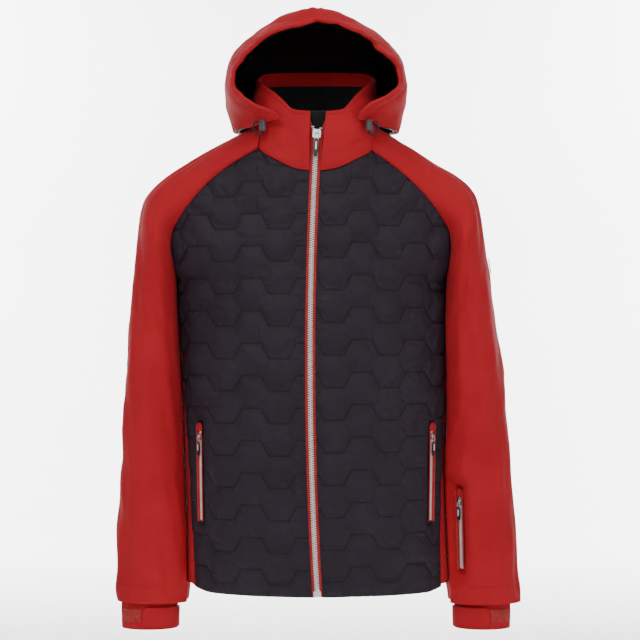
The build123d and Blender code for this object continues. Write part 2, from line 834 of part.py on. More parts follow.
def front_box(low_x, high_x, low_z, high_z, corner):
    """A block in front of the middle plane, with rounded corners."""
    with BuildPart() as block:
        with BuildSketch(Plane.XZ):
            with Locations(((low_x + high_x) / 2, (low_z + high_z) / 2)):
                RectangleRounded(abs(high_x - low_x), high_z - low_z, corner)
        extrude(amount=FAR)
    return block.part


gap = MOVING_GAP / 2
upper_slab = slab(-ELBOW_DROP + gap, SLEEVE_TOP)
for name, side in (("right", RIGHT), ("left", LEFT)):
    form = sleeve_form(side)
    armhole = armhole_tool(side, gap)
    with BuildPart() as above_armpit:
        with BuildSketch(Plane.XY.offset(-ARMPIT_DROP)):
            Rectangle(4 * FAR, 4 * FAR)
        extrude(amount=FAR)
        add(armhole, mode=Mode.SUBTRACT)
    for piece, outer, inner in (
        ("sleeve_", 0, SLEEVE_WALL),
        ("lining_", SLEEVE_WALL, SLEEVE_WALL + LINING),
    ):
        tube = shell_of(form, outer, inner)
        with BuildPart() as upper:
            add(tube)
            add(upper_slab, mode=Mode.INTERSECT)
            add(above_armpit.part, mode=Mode.SUBTRACT)
        body_parts["upper_" + piece + name] = upper.part
        stop = 0 if piece == "sleeve_" else CUFF_TUCK + CUFF_FIT
        with BuildPart() as lower:
            add(tube)
            add(slab(-SLEEVE_LENGTH + stop, -ELBOW_DROP - gap), mode=Mode.INTERSECT)
        body_parts["lower_" + piece + name] = lower.part
    cuff_wall = cuff_form(side)
    with BuildPart() as cuff:
        add(shell_of(cuff_wall, 0, CUFF_WALL))
        add(slab(cuff_low, cuff_top), mode=Mode.INTERSECT)
    body_parts["cuff_" + name] = cuff.part
    inner_x = side * (hand_middle - CUFF_HALF_WIDTH - 2 * TAB_THICK)
    reach_x = side * (hand_middle - CUFF_HALF_WIDTH + TAB_REACH)
    outer_x = side * (hand_middle + CUFF_HALF_WIDTH - PATCH_FROM_TAB)
    tab_low = cuff_low + TAB_LOW_GAP
    with BuildPart() as tab:
        add(shell_of(cuff_wall, -TAB_GAP - TAB_THICK, -TAB_GAP))
        block = front_box(inner_x, reach_x, tab_low, tab_low + TAB_HEIGHT, TAB_CORNER)
        add(block, mode=Mode.INTERSECT)
        low_slab = slab(cuff_low, -SLEEVE_LENGTH - CUFF_NECK - MOVING_GAP)
        add(low_slab, mode=Mode.INTERSECT)
    body_parts["cuff_tab_" + name] = tab.part
    with BuildPart() as patch:
        add(shell_of(cuff_wall, -PATCH_THICK, 0))
        patch_high = tab_low + TAB_HEIGHT - PATCH_CORNER
        patch_x = reach_x + side * PATCH_FROM_TAB
        patch_low = patch_high - PATCH_HEIGHT
        block = front_box(patch_x, outer_x, patch_low, patch_high, PATCH_CORNER)
        add(block, mode=Mode.INTERSECT)
    body_parts["cuff_patch_" + name] = patch.part

# Sleeve pocket: a short zip on the front of the left forearm
SLEEVE_GARAGE = (11.0, 14.0, 1.6)
SLEEVE_TAB = (5.4, 22.0, 2.2)


def sleeve_point(height):
    """A point on the left sleeve's front and the way out of the cloth there."""
    rings = [(level[0], sleeve_ring(level)) for level in reversed(sleeve_levels)]
    middle = between(height, [(z, ring[0]) for z, ring in rings])
    half = between(height, [(z, ring[1]) for z, ring in rings])
    deep = between(height, [(z, ring[2]) for z, ring in rings])
    share = SLEEVE_POCKET_SHARE
    reach = math.sqrt(1 - share**2)
    point = Vector(middle + half * share, -deep * reach, height)
    return point, Vector(share / half, -reach / deep, 0).normalized()


top_point, top_out = sleeve_point(-SLEEVE_POCKET_TOP)
low_point, low_out = sleeve_point(-SLEEVE_POCKET_TOP - SLEEVE_POCKET_LENGTH)
climb = (top_point - low_point).normalized()
pocket_across = climb.cross((top_out + low_out).normalized())
arm_plane = Plane(top_point, x_dir=pocket_across, z_dir=pocket_across.cross(climb))
arm_tape, arm_teeth = zip_straight(
    arm_plane,
    SLEEVE_POCKET_SLOT,
    POCKET_TEETH,
    SLEEVE_POCKET_LENGTH,
    POCKET_Z,
    POCKET_POST,
)
with BuildPart() as arm_slot:
    with BuildSketch(arm_plane.offset(-2 * SHELL)):
        with Locations((0, -SLEEVE_POCKET_LENGTH / 2)):
            Rectangle(2 * SLEEVE_POCKET_SLOT, SLEEVE_POCKET_LENGTH)
    extrude(amount=4 * SHELL)
for cut_name in ("lower_sleeve_left", "lower_lining_left"):
    with BuildPart() as cut_sleeve:
        add(body_parts[cut_name])
        add(arm_slot.part, mode=Mode.SUBTRACT)
    body_parts[cut_name] = cut_sleeve.part
body_parts["sleeve_pocket_tape"] = arm_tape
body_parts["sleeve_pocket_teeth"] = arm_teeth
body_parts["sleeve_pocket_garage"] = garage(arm_plane, *SLEEVE_GARAGE)
arm_seat = Plane(
    arm_plane.from_local_coords((0, -POCKET_SLIDER_DROP, 0)),
    x_dir=arm_plane.x_dir,
    z_dir=arm_plane.z_dir,
)
body_parts["sleeve_pocket_slider"] = zip_slider(
    arm_seat, POCKET_SLIDER_HALF, POCKET_POST, POCKET_PLATE, POCKET_SLIDER, POCKET_Z
)
wire, grip = zip_pull(
    arm_seat, POCKET_PLATE, POCKET_SLIDER, POCKET_Z, POCKET_RING, SLEEVE_TAB
)
with BuildPart() as arm_pull:
    add(wire)
    add(grip)
body_parts["sleeve_pocket_pull"] = arm_pull.part

# Badge: a small blank patch sewn on the outside of the left sleeve
BADGE_DROP = 195.0
BADGE_HEIGHT = 26.0
BADGE_WIDTH = 16.0
BADGE_THICK = 1.0
BADGE_CORNER = 3.0
with BuildPart() as badge:
    add(shell_of(sleeve_form(LEFT), -BADGE_THICK, 0))
    with BuildSketch(Plane.YZ):
        with Locations((0, -BADGE_DROP)):
            RectangleRounded(BADGE_WIDTH, BADGE_HEIGHT, BADGE_CORNER)
    extrude(amount=2 * FAR, mode=Mode.INTERSECT)
badge_solid = badge.part.solids().sort_by(Axis.X)[-1]
body_parts["sleeve_badge"] = badge_solid

# Hood: its outline at each height, as shares of its rise, half width, front and back
hood_shape = [
    (0.0, 0.843, 0.922, 0.678),
    (0.054, 0.902, 0.957, 0.737),
    (0.177, 0.967, 1.0, 0.855),
    (0.345, 1.0, 0.991, 0.974),
    (0.542, 0.948, 0.904, 1.0),
    (0.734, 0.778, 0.73, 0.908),
    (0.892, 0.51, 0.522, 0.684),
    (0.975, 0.248, 0.296, 0.434),
    (1.0, 0.092, 0.104, 0.263),
]
HOOD_RISE = HOOD_TOP - HOOD_BASE


def hood_height(share):
    """A height up the hood, from its base at 0 to its crown at 1."""
    return HOOD_BASE + HOOD_RISE * share


def hood_size(height, column, size):
    """One of the hood's outline sizes at a height."""
    return size * between(height, [(hood_height(row[0]), row[column]) for row in hood_shape])


def hood_ring(height):
    """Half width, half depth and middle of the hood at a height."""
    half = hood_size(height, 1, HOOD_HALF)
    front = hood_size(height, 2, HOOD_FRONT)
    back = hood_size(height, 3, HOOD_BACK)
    return half, (front + back) / 2, (back - front) / 2


def hood_form(inset):
    """The raised hood as one solid, its sides and top moved in by inset."""
    with BuildPart() as dome:
        for row in hood_shape:
            height = hood_height(row[0])
            half, deep, middle = hood_ring(height)
            with BuildSketch(Plane((0, middle, height - inset * row[0]))):
                Ellipse(half - inset, deep - inset)
        loft(ruled=True)
    return dome.part


with BuildPart() as face_opening:
    with BuildSketch(Plane.XZ):
        with BuildLine():
            face_half = HOOD_HALF - FACE_SIDE_MARGIN
            face_top = HOOD_TOP - FACE_TOP_DROP
            chin = HOOD_BASE + FACE_CHIN_RISE
            face_rise = face_top - chin
            widest = chin + face_rise * 0.46
            brow = chin + face_rise * 0.79
            cheek = chin + face_rise * 0.16
            below = HOOD_BASE - OVERCUT
            for side in (LEFT, RIGHT):
                Spline(
                    (0, face_top),
                    (side * face_half * 0.7, brow),
                    (side * face_half, widest),
                    (side * face_half * 0.79, cheek),
                    (side * FACE_CHIN_HALF, chin),
                )
                Polyline((side * FACE_CHIN_HALF, chin), (side * FACE_CHIN_HALF, below), (0, below))
        make_face()
    extrude(amount=FAR)
for name, outer, inner in (
    ("hood_shell", 0, HOOD_WALL),
    ("hood_lining", HOOD_WALL, HOOD_WALL + LINING),
):
    with BuildPart() as hood_layer:
        add(shell_of(hood_form, outer, inner))
        add(face_opening.part, mode=Mode.SUBTRACT)
    body_parts[name] = hood_layer.part

# Hood cord locks: a barrel with a sprung button, on an elastic loop
LOCK_X = 82.0
LOCK_Z = 34.0
LOCK_LENGTH = 15.0
LOCK_HALF = 4.5
LOCK_STANDOFF = 2.5
LOCK_FLOOR = 4.0
LOCK_WALL = 1.5
BUTTON_GAP = 0.3
BUTTON_TRAVEL = 2.5
ELASTIC_HALF = 1.5
ELASTIC_REACH = 8.0
lock_seats = {}
for name, side in (("right", RIGHT), ("left", LEFT)):
    half, deep, middle = hood_ring(LOCK_Z)
    reach = math.sqrt(1 - (LOCK_X / half) ** 2)
    out = Vector(side * LOCK_X / half**2, -reach / deep, 0).normalized()
    point = Vector(side * LOCK_X, middle - deep * reach, LOCK_Z)
    point += out * (LOCK_HALF + LOCK_STANDOFF)
    seat = Plane(point, x_dir=(-out.Y, out.X, 0), z_dir=(0, 0, 1))
    lock_seats[name] = (seat, out)
    with BuildPart() as lock:
        with BuildSketch(seat.offset(-LOCK_LENGTH)):
            SlotOverall(2 * LOCK_HALF + 2.0, 2 * LOCK_HALF)
        extrude(amount=LOCK_LENGTH)
        with BuildSketch(seat.offset(LOCK_FLOOR - LOCK_LENGTH)):
            bore = 2 * (LOCK_HALF - LOCK_WALL)
            SlotOverall(bore + 2.0, bore)
        extrude(amount=LOCK_LENGTH, mode=Mode.SUBTRACT)
    body_parts["cord_lock_" + name] = lock.part
    with BuildPart() as button:
        with BuildSketch(seat.offset(LOCK_FLOOR + MOVING_GAP + BUTTON_TRAVEL - LOCK_LENGTH)):
            SlotOverall(bore + 2.0 - 2 * BUTTON_GAP, bore - 2 * BUTTON_GAP)
        extrude(amount=LOCK_LENGTH - LOCK_FLOOR - MOVING_GAP)
    body_parts["lock_button_" + name] = button.part
    with BuildPart() as elastic:
        root = seat.offset(-LOCK_LENGTH / 2 - 2.0)
        with BuildSketch(Plane(root.origin - out * LOCK_HALF, x_dir=(0, 0, 1), z_dir=-out)):
            Circle(ELASTIC_HALF)
        extrude(amount=ELASTIC_REACH)
        add(hood_form(-MOVING_GAP), mode=Mode.SUBTRACT)
    body_parts["hood_elastic_" + name] = elastic.part


# Small pairs that share a node
for pair in ("pocket_garage", "hood_elastic"):
    with BuildPart() as both:
        for name in ("right", "left"):
            add(body_parts.pop(pair + "_" + name))
    body_parts[pair + "s"] = both.part

for name, piece in body_parts.items():
    piece.label = name
    export_step(piece, "parts/" + name + ".step")
print("nodes", len(body_parts), "slider axis", zip_turn_axis, "turn", TURN)
print("radius", zip_arc.radius, "slider seat", slider_plane.origin)
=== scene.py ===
# %% [markdown]
# # A padded ski jacket
#
# This lesson dresses a working frame of a ski jacket in its cloth. The frame gives every size and every
# moving part. Each step makes one piece of the real garment: quilted fronts, raglan sleeves, collar, hood,
# zips and trims. Lengths are in metres, X runs to the wearer's left, Y to the back and Z up.

import bisect
import json
import math

import bmesh
import bpy
from mathutils import Matrix, Vector, noise


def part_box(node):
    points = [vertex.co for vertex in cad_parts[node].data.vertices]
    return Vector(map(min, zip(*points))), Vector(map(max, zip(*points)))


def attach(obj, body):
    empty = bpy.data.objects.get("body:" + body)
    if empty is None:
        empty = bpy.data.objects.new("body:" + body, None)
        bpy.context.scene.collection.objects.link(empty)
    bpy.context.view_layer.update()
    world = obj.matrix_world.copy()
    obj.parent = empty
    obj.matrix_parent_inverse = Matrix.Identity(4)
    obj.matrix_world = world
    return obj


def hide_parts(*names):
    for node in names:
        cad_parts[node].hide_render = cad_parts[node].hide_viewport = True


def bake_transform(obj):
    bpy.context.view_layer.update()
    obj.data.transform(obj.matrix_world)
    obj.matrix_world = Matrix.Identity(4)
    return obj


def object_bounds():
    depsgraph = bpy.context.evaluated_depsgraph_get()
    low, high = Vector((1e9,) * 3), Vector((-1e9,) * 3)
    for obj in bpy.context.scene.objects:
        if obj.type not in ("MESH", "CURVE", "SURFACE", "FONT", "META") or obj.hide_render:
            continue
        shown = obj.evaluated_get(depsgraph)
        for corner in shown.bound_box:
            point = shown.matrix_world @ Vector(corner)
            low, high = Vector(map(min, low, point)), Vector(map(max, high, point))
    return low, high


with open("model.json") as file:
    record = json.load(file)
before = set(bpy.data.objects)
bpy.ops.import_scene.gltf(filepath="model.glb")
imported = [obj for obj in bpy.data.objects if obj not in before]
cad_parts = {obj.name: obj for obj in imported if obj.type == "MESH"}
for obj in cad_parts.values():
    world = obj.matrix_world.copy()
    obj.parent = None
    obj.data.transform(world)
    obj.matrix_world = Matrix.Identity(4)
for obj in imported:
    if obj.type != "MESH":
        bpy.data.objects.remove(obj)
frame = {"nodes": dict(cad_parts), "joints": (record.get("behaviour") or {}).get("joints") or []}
cad_low, cad_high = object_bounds()
JOINTS = {joint["name"]: joint for joint in frame["joints"]}
print("frame from", list(cad_low), "to", list(cad_high))

# %% [markdown]
# ## The camera
#
# A garment catalogue shows a jacket straight from the front, from far enough away that both sleeves keep
# their width. A long lens at a little over three metres does that, level with the garment's middle.

# %% Set up the camera
CAMERA_DISTANCE = 3.2
VIEW_WIDTH = 1.056
SENSOR = 36.0
camera_data = bpy.data.cameras.new("catalogue_camera")
camera_data.sensor_width = SENSOR
camera_data.lens = SENSOR * CAMERA_DISTANCE / VIEW_WIDTH
camera = bpy.data.objects.new("catalogue_camera", camera_data)
bpy.context.scene.collection.objects.link(camera)
camera.location = (0.0066, -CAMERA_DISTANCE, (cad_low.z + cad_high.z) / 2 - 0.0025)
camera.rotation_euler = (math.radians(90), 0, 0)
bpy.context.scene.camera = camera
print("lens", round(camera_data.lens, 1))

# %% [markdown]
# ## Light and floor
#
# Cloth shows its folds under broad soft light. A large lamp above the camera gives the form, one at each
# side lifts the sleeves, and a pale floor swept up into a backdrop fills the rest.

# %% Light the studio


def soft_lamp(name, place, target, size, power):
    """A square lamp at place that faces target."""
    data = bpy.data.lights.new(name, "AREA")
    data.size = size
    data.energy = power
    lamp = bpy.data.objects.new(name, data)
    lamp.location = place
    lamp.visible_camera = False
    lamp.rotation_euler = (Vector(target) - Vector(place)).to_track_quat("-Z", "Y").to_euler()
    bpy.context.scene.collection.objects.link(lamp)


MIDDLE = (0, 0, camera.location.z)
soft_lamp("key_lamp", (-0.9, -2.6, 1.6), MIDDLE, 1.5, 39)
soft_lamp("fill_lamp", (2.0, -2.4, 0.5), MIDDLE, 1.6, 17)
soft_lamp("top_lamp", (0, -0.5, 2.1), MIDDLE, 1.4, 16)
soft_lamp("wall_lamp_right", (-2.5, 3.5, 1.3), (-0.6, 5.4, -0.4), 1.6, 420)
soft_lamp("wall_lamp_left", (2.5, 3.5, 1.3), (0.6, 5.4, -0.4), 1.6, 420)

world = bpy.data.worlds.new("studio")
world.use_nodes = True
world.node_tree.nodes["Background"].inputs["Color"].default_value = (1, 1, 1, 1)
world.node_tree.nodes["Background"].inputs["Strength"].default_value = 0.38
bpy.context.scene.world = world

# %% Sweep the backdrop
FLOOR_GAP = 0.35
SWEEP_START = 3.9
SWEEP_RADIUS = 1.5


def sweep_height(back):
    """How high the backdrop stands at a distance behind the garment."""
    past = min(max(back - SWEEP_START, 0), SWEEP_RADIUS * 0.98)
    return SWEEP_RADIUS - math.sqrt(SWEEP_RADIUS**2 - past**2)


sweep = bmesh.new()
bmesh.ops.create_grid(sweep, x_segments=2, y_segments=80, size=9)
for point in sweep.verts:
    rise = max(0, point.co.y - SWEEP_START - SWEEP_RADIUS)
    point.co.z = cad_low.z - FLOOR_GAP + sweep_height(point.co.y) + 2 * rise
    point.co.y = min(point.co.y, SWEEP_START + SWEEP_RADIUS)
sweep_mesh = bpy.data.meshes.new("floor")
sweep.to_mesh(sweep_mesh)
sweep.free()
sweep_mesh.shade_smooth()
floor = bpy.data.objects.new("floor", sweep_mesh)
bpy.context.scene.collection.objects.link(floor)
print("floor at", round(cad_low.z - FLOOR_GAP, 3))

# %% [markdown]
# ## Finishes
#
# Every finish is made of nodes. Cloth has three scales: slow changes of shade across a panel, the small
# puckers of a coated cloth, and the weave itself. The weave follows the cloth's own map, measured in
# metres, so its threads keep their size and turn with the panel.

# %% A workbench for materials


def new_finish(name, colour, rough, metal=0.0, gleam=0.25):
    """A material with its principled shader, ready for detail."""
    finish = bpy.data.materials.new(name)
    finish.use_nodes = True
    shader = finish.node_tree.nodes["Principled BSDF"]
    shader.inputs["Base Color"].default_value = (*colour, 1)
    shader.inputs["Roughness"].default_value = rough
    shader.inputs["Metallic"].default_value = metal
    shader.inputs["Specular IOR Level"].default_value = gleam
    return finish, finish.node_tree, shader


def add_node(tree, kind, **settings):
    """One node, with its sockets or properties set by name."""
    made = tree.nodes.new(kind)
    for key, value in settings.items():
        socket = key.replace("_", " ")
        if socket in made.inputs:
            made.inputs[socket].default_value = value
        else:
            setattr(made, key, value)
    return made


def mottle(tree, shader, low, high, size, detail=3.0):
    """Varies the colour slowly between low and high over the piece."""
    place = add_node(tree, "ShaderNodeTexCoord")
    clouds = add_node(tree, "ShaderNodeTexNoise", Scale=1 / size, Detail=detail)
    ramp = add_node(tree, "ShaderNodeValToRGB")
    ramp.color_ramp.elements[0].position = 0.3
    ramp.color_ramp.elements[0].color = (*low, 1)
    ramp.color_ramp.elements[1].position = 0.7
    ramp.color_ramp.elements[1].color = (*high, 1)
    tree.links.new(place.outputs["Object"], clouds.inputs["Vector"])
    tree.links.new(clouds.outputs["Fac"], ramp.inputs["Fac"])
    tree.links.new(ramp.outputs["Color"], shader.inputs["Base Color"])
    return ramp


def bump_of(tree, source, depth, strength, below=None):
    """A bump of a height texture, on top of the one below."""
    bump = add_node(tree, "ShaderNodeBump", Strength=strength, Distance=depth)
    tree.links.new(source, bump.inputs["Height"])
    if below:
        tree.links.new(below.outputs["Normal"], bump.inputs["Normal"])
    return bump


THREAD_TURN = 20.0


def woven(tree, shader, thread, pucker, pucker_depth):
    """Weave of two crossed sets of threads, and puckers of the cloth at a larger size."""
    cloth_map = add_node(tree, "ShaderNodeUVMap", uv_map="cloth")
    threads = []
    for direction in ("X", "Y"):
        band = add_node(tree, "ShaderNodeTexWave", Scale=math.tau / THREAD_TURN / thread)
        band.bands_direction = direction
        tree.links.new(cloth_map.outputs["UV"], band.inputs["Vector"])
        threads.append(band)
    crossed = add_node(tree, "ShaderNodeMath", operation="MULTIPLY")
    tree.links.new(threads[0].outputs["Fac"], crossed.inputs[0])
    tree.links.new(threads[1].outputs["Fac"], crossed.inputs[1])
    place = add_node(tree, "ShaderNodeTexCoord")
    puckers = add_node(tree, "ShaderNodeTexNoise", Scale=1 / pucker, Detail=4.0)
    tree.links.new(place.outputs["Object"], puckers.inputs["Vector"])
    under = bump_of(tree, puckers.outputs["Fac"], pucker_depth, 0.5)
    over = bump_of(tree, crossed.outputs["Value"], thread * 0.25, 0.35, under)
    tree.links.new(over.outputs["Normal"], shader.inputs["Normal"])


# %% [markdown]
# ### The cloths
#
# The shell is a tightly woven red cloth with a faint satin sheen. The fronts are a dark, flatter cloth,
# with painted shade along each quilting line, where the stitching pulls it in. The lining is a black taffeta
# and the collar's inside a short fleece, which gets sheen and a fine grain instead of a weave.

# %% Mix the cloths
red_cloth, tree, shader = new_finish("red_shell_cloth", (0.44, 0.016, 0.021), 0.78, gleam=0.11)
shader.inputs["Sheen Weight"].default_value = 0.02
mottle(tree, shader, (0.41, 0.0125, 0.0195), (0.47, 0.0165, 0.0240), 0.09)
woven(tree, shader, 0.0007, 0.011, 0.0007)

facing_cloth, tree, shader = new_finish("red_facing_cloth", (0.4, 0.014, 0.019), 0.75, gleam=0.11)
mottle(tree, shader, (0.40, 0.0105, 0.0170), (0.47, 0.0150, 0.0220), 0.05)
woven(tree, shader, 0.0007, 0.008, 0.0006)

dark_cloth, tree, shader = new_finish("dark_quilted_cloth", (0.034, 0.025, 0.036), 0.62, gleam=0.2)
ramp = mottle(tree, shader, (0.0215, 0.0145, 0.0225), (0.0265, 0.0185, 0.0280), 0.07)
# A mark along each quilting line, used to paint shade into the groove's colour.
groove_shade_attribute = add_node(tree, "ShaderNodeAttribute", attribute_name="quilt_groove_shade")
groove_shaded_colour = add_node(tree, "ShaderNodeMix", data_type="RGBA")
# The painted shade colour of the quilting groove.
groove_shaded_colour.inputs[7].default_value = (0.0070, 0.0045, 0.0075, 1)
tree.links.new(groove_shade_attribute.outputs["Fac"], groove_shaded_colour.inputs[0])
tree.links.new(ramp.outputs["Color"], groove_shaded_colour.inputs[6])
tree.links.new(groove_shaded_colour.outputs[2], shader.inputs["Base Color"])
woven(tree, shader, 0.0008, 0.007, 0.0005)

lining_cloth, tree, shader = new_finish("black_lining", (0.006, 0.006, 0.007), 0.5)
mottle(tree, shader, (0.004, 0.004, 0.005), (0.009, 0.009, 0.010), 0.05)
woven(tree, shader, 0.0006, 0.012, 0.001)

fleece, tree, shader = new_finish("black_fleece", (0.006, 0.006, 0.007), 0.95)
shader.inputs["Sheen Weight"].default_value = 0.2
mottle(tree, shader, (0.004, 0.004, 0.0045), (0.009, 0.009, 0.0095), 0.012)
woven(tree, shader, 0.002, 0.003, 0.0012)

tape_cloth, tree, shader = new_finish("red_zip_tape", (0.46, 0.03, 0.03), 0.7)
mottle(tree, shader, (0.4, 0.02, 0.02), (0.5, 0.035, 0.035), 0.01)

stitch_thread, tree, shader = new_finish("stitching_thread", (0.3, 0.015, 0.014), 0.6)
mottle(tree, shader, (0.25, 0.012, 0.011), (0.34, 0.02, 0.018), 0.004)

dark_thread, tree, shader = new_finish("dark_stitching_thread", (0.02, 0.015, 0.021), 0.6)
mottle(tree, shader, (0.014, 0.011, 0.015), (0.03, 0.022, 0.032), 0.004)

# %% [markdown]
# ### The hard finishes
#
# Moulded teeth are a pale glossy plastic, the sliders are plated, the pulls are black rubbery plastic, and
# the cord locks a grey one. A fine noise in roughness keeps each from looking like a flat colour.

# %% Mix the hard finishes


def hard_finish(name, low, high, rough, grain, metal=0.0, depth=0.0001):
    """Plastic, rubber or metal: two close shades, and a grain that breaks the gloss."""
    finish, tree, shader = new_finish(name, high, rough, metal, 0.5)
    mottle(tree, shader, low, high, grain * 4)
    place = add_node(tree, "ShaderNodeTexCoord")
    grains = add_node(tree, "ShaderNodeTexNoise", Scale=1 / grain, Detail=2.0)
    gloss = add_node(tree, "ShaderNodeMapRange")
    gloss.inputs["To Min"].default_value = rough * 0.8
    gloss.inputs["To Max"].default_value = rough * 1.25
    tree.links.new(place.outputs["Object"], grains.inputs["Vector"])
    tree.links.new(grains.outputs["Fac"], gloss.inputs["Value"])
    tree.links.new(gloss.outputs["Result"], shader.inputs["Roughness"])
    bump = bump_of(tree, grains.outputs["Fac"], depth, 0.4)
    tree.links.new(bump.outputs["Normal"], shader.inputs["Normal"])
    return finish


teeth_plastic = hard_finish("pale_teeth_plastic", (0.72, 0.66, 0.66), (0.84, 0.8, 0.8), 0.3, 0.0015)
plated_metal = hard_finish("plated_metal", (0.62, 0.62, 0.63), (0.78, 0.78, 0.79), 0.24, 0.001, 1.0)
pull_rubber = hard_finish("black_pull_rubber", (0.008, 0.008, 0.009), (0.016, 0.016, 0.017), 0.42, 0.0008)
grey_plastic = hard_finish("grey_lock_plastic", (0.05, 0.05, 0.055), (0.09, 0.09, 0.095), 0.45, 0.0008)
black_elastic = hard_finish("black_elastic", (0.008, 0.008, 0.009), (0.02, 0.02, 0.021), 0.8, 0.0012)
hook_tape = hard_finish("red_hook_tape", (0.3, 0.012, 0.012), (0.42, 0.03, 0.028), 0.85, 0.0014, 0.0, 0.0009)
floor_paint, tree, shader = new_finish("pale_floor", (0.95, 0.95, 0.95), 0.9)
mottle(tree, shader, (0.94, 0.94, 0.94), (0.96, 0.96, 0.96), 0.5)
floor.data.materials.append(floor_paint)

# %% [markdown]
# ## Cloth tools
#
# A garment piece is a flat sheet before it is sewn, so each starts as a flat grid made by an operator, and
# every point of it is then carried to its place on the body. That keeps the rows and columns of the grid
# as the cloth's grain, which the weave follows. Two short tools do this, and one reads smooth curves.

# %% Tools for curves and sheets


def smooth_curve(rows):
    """Reads rows of (place, size, ...) as an even curve that never overshoots them."""
    places = [row[0] for row in rows]
    sizes = [row[1:] for row in rows]
    slopes = []
    for i in range(len(rows)):
        slope = []
        for k in range(len(sizes[0])):
            sides = []
            for a, b in ((i - 1, i), (i, i + 1)):
                if a >= 0 and b < len(rows):
                    sides.append((sizes[b][k] - sizes[a][k]) / (places[b] - places[a]))
            if len(sides) == 1:
                slope.append(sides[0])
            elif sides[0] * sides[1] <= 0:
                slope.append(0.0)
            else:
                slope.append(2 * sides[0] * sides[1] / (sides[0] + sides[1]))
        slopes.append(slope)

    def read(place):
        place = min(max(place, places[0]), places[-1])
        i = min(max(bisect.bisect_right(places, place) - 1, 0), len(places) - 2)
        span = places[i + 1] - places[i]
        t = (place - places[i]) / span
        found = []
        for k in range(len(sizes[0])):
            a, b = sizes[i][k], sizes[i + 1][k]
            m, n = slopes[i][k] * span, slopes[i + 1][k] * span
            found.append(
                a * (1 - t) ** 2 * (1 + 2 * t)
                + b * t * t * (3 - 2 * t)
                + m * t * (1 - t) ** 2
                - n * t * t * (1 - t)
            )
        return found[0] if len(found) == 1 else Vector(found)

    return read


def ease(low, high, value):
    """0 below low, 1 above high, and an even climb between them."""
    t = min(1.0, max(0.0, (value - low) / (high - low)))
    return t * t * (3 - 2 * t)


def mix(a, b, share):
    """Part of the way from a to b."""
    return a + (b - a) * share


def sheet_of(columns, rows, size, place, welded=False):
    """A flat grid with its cloth map in metres, each point carried to place(u, v)."""
    cloth = bmesh.new()
    bmesh.ops.create_grid(cloth, x_segments=columns, y_segments=rows, size=0.5)
    cloth_map = cloth.loops.layers.uv.new("cloth")
    for face in cloth.faces:
        for corner in face.loops:
            u, v = corner.vert.co.x + 0.5, corner.vert.co.y + 0.5
            corner[cloth_map].uv = (u * size[0], v * size[1])
    for point in cloth.verts:
        u = min(1.0, max(0.0, point.co.x + 0.5))
        v = min(1.0, max(0.0, point.co.y + 0.5))
        point.co = place(u, v)
    if welded:
        bmesh.ops.remove_doubles(cloth, verts=cloth.verts, dist=0.00002)
    return cloth


def face_out(cloth, inside):
    """Turns the sheet so that its faces look away from inside(point)."""
    cloth.normal_update()
    facing = 0.0
    for face in cloth.faces:
        centre = face.calc_center_median()
        facing += face.normal.dot(centre - inside(centre)) * face.calc_area()
    if facing < 0:
        bmesh.ops.reverse_faces(cloth, faces=cloth.faces)


def finished(name, cloth, finish, replaced=(), wall=0.0, rounds=1):
    """Turns a bmesh into a smooth piece, with a wall behind its face where asked."""
    mesh = bpy.data.meshes.new(name)
    cloth.to_mesh(mesh)
    cloth.free()
    mesh.shade_smooth()
    for each in finish if isinstance(finish, (list, tuple)) else [finish]:
        mesh.materials.append(each)
    piece = bpy.data.objects.new(name, mesh)
    bpy.context.scene.collection.objects.link(piece)
    if rounds:
        soften = piece.modifiers.new("soften", "SUBSURF")
        soften.levels = soften.render_levels = rounds
    if wall:
        thicken = piece.modifiers.new("wall", "SOLIDIFY")
        thicken.thickness = wall
        thicken.offset = -1
    if replaced:
        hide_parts(*replaced)
    print(name, len(mesh.vertices), "points")
    return piece


# %% [markdown]
# ## The body's shape
#
# Below the arms the body is an oval that narrows a little at the waist. Above, the oval opens towards the
# shoulder tips and closes again round the neck. The front bows forward over the chest in one even curve,
# which the zip follows. These few curves place every body panel, so the panels meet along their seams.

# %% Curves of the body
HEM = -0.725
ARMPIT = -0.225
ZIP_TOP = 0.056
SIDES = {"right": -1, "left": 1}

body_half = smooth_curve([
    (-0.735, 0.215), (-0.58, 0.2110), (-0.44, 0.2150), (-0.32, 0.2190), (-0.26, 0.2210), (-0.225, 0.2230),
    (-0.1545, 0.286), (-0.084, 0.274), (0.038, 0.099), (0.137, 0.095),
])
body_back = smooth_curve([
    (-0.735, 0.118), (-0.26, 0.128), (-0.1545, 0.128), (-0.084, 0.112), (0.038, 0.066), (0.137, 0.060),
])
# How far the garment hangs to the wearer's right at each height
sway = smooth_curve([
    (-0.76, 0.006), (-0.70, 0.003), (-0.58, 0.0), (-0.44, -0.002), (-0.32, -0.005), (-0.2, -0.0075),
    (-0.1, -0.0085), (-0.03, -0.009), (0.015, -0.005), (0.06, 0.0),
])


def swayed(side, spot):
    """Puts a spot of the wearer's left half on its side and hangs it with the rest of the garment."""
    return Vector((side * spot.x + sway(spot.z) * ease(0.02, 0.16, spot.x), spot.y, spot.z))


def front_depth(height):
    """How far the front stands forward of the origin."""
    share = (height - HEM) / (ZIP_TOP - HEM)
    return 0.122 - 0.038 * share + 0.037 * 4 * share * (1 - share)


def zip_x(height):
    """Where the zip's middle line passes."""
    share = (height - HEM) / (ZIP_TOP - HEM)
    return 0.0025 + 0.0015 * share - 0.01225 * 4 * share * (1 - share)


def body_oval(height):
    """Half width, half depth and middle of the body at a height."""
    front, back = front_depth(height), body_back(height)
    return body_half(height), (front + back) / 2, (back - front) / 2


def body_y(x, height, facing):
    """Y of the body's face at a point, on the front for facing -1 and the back for 1."""
    half, deep, middle = body_oval(height)
    return middle + facing * deep * math.sqrt(max(0.0, 1 - (x / half) ** 2))


# %% [markdown]
# The raglan seam runs from the neck to the armpit, in one curve that steepens as it goes. The front panel
# below it, the shoulder above it and the back panel all read it from the same list.

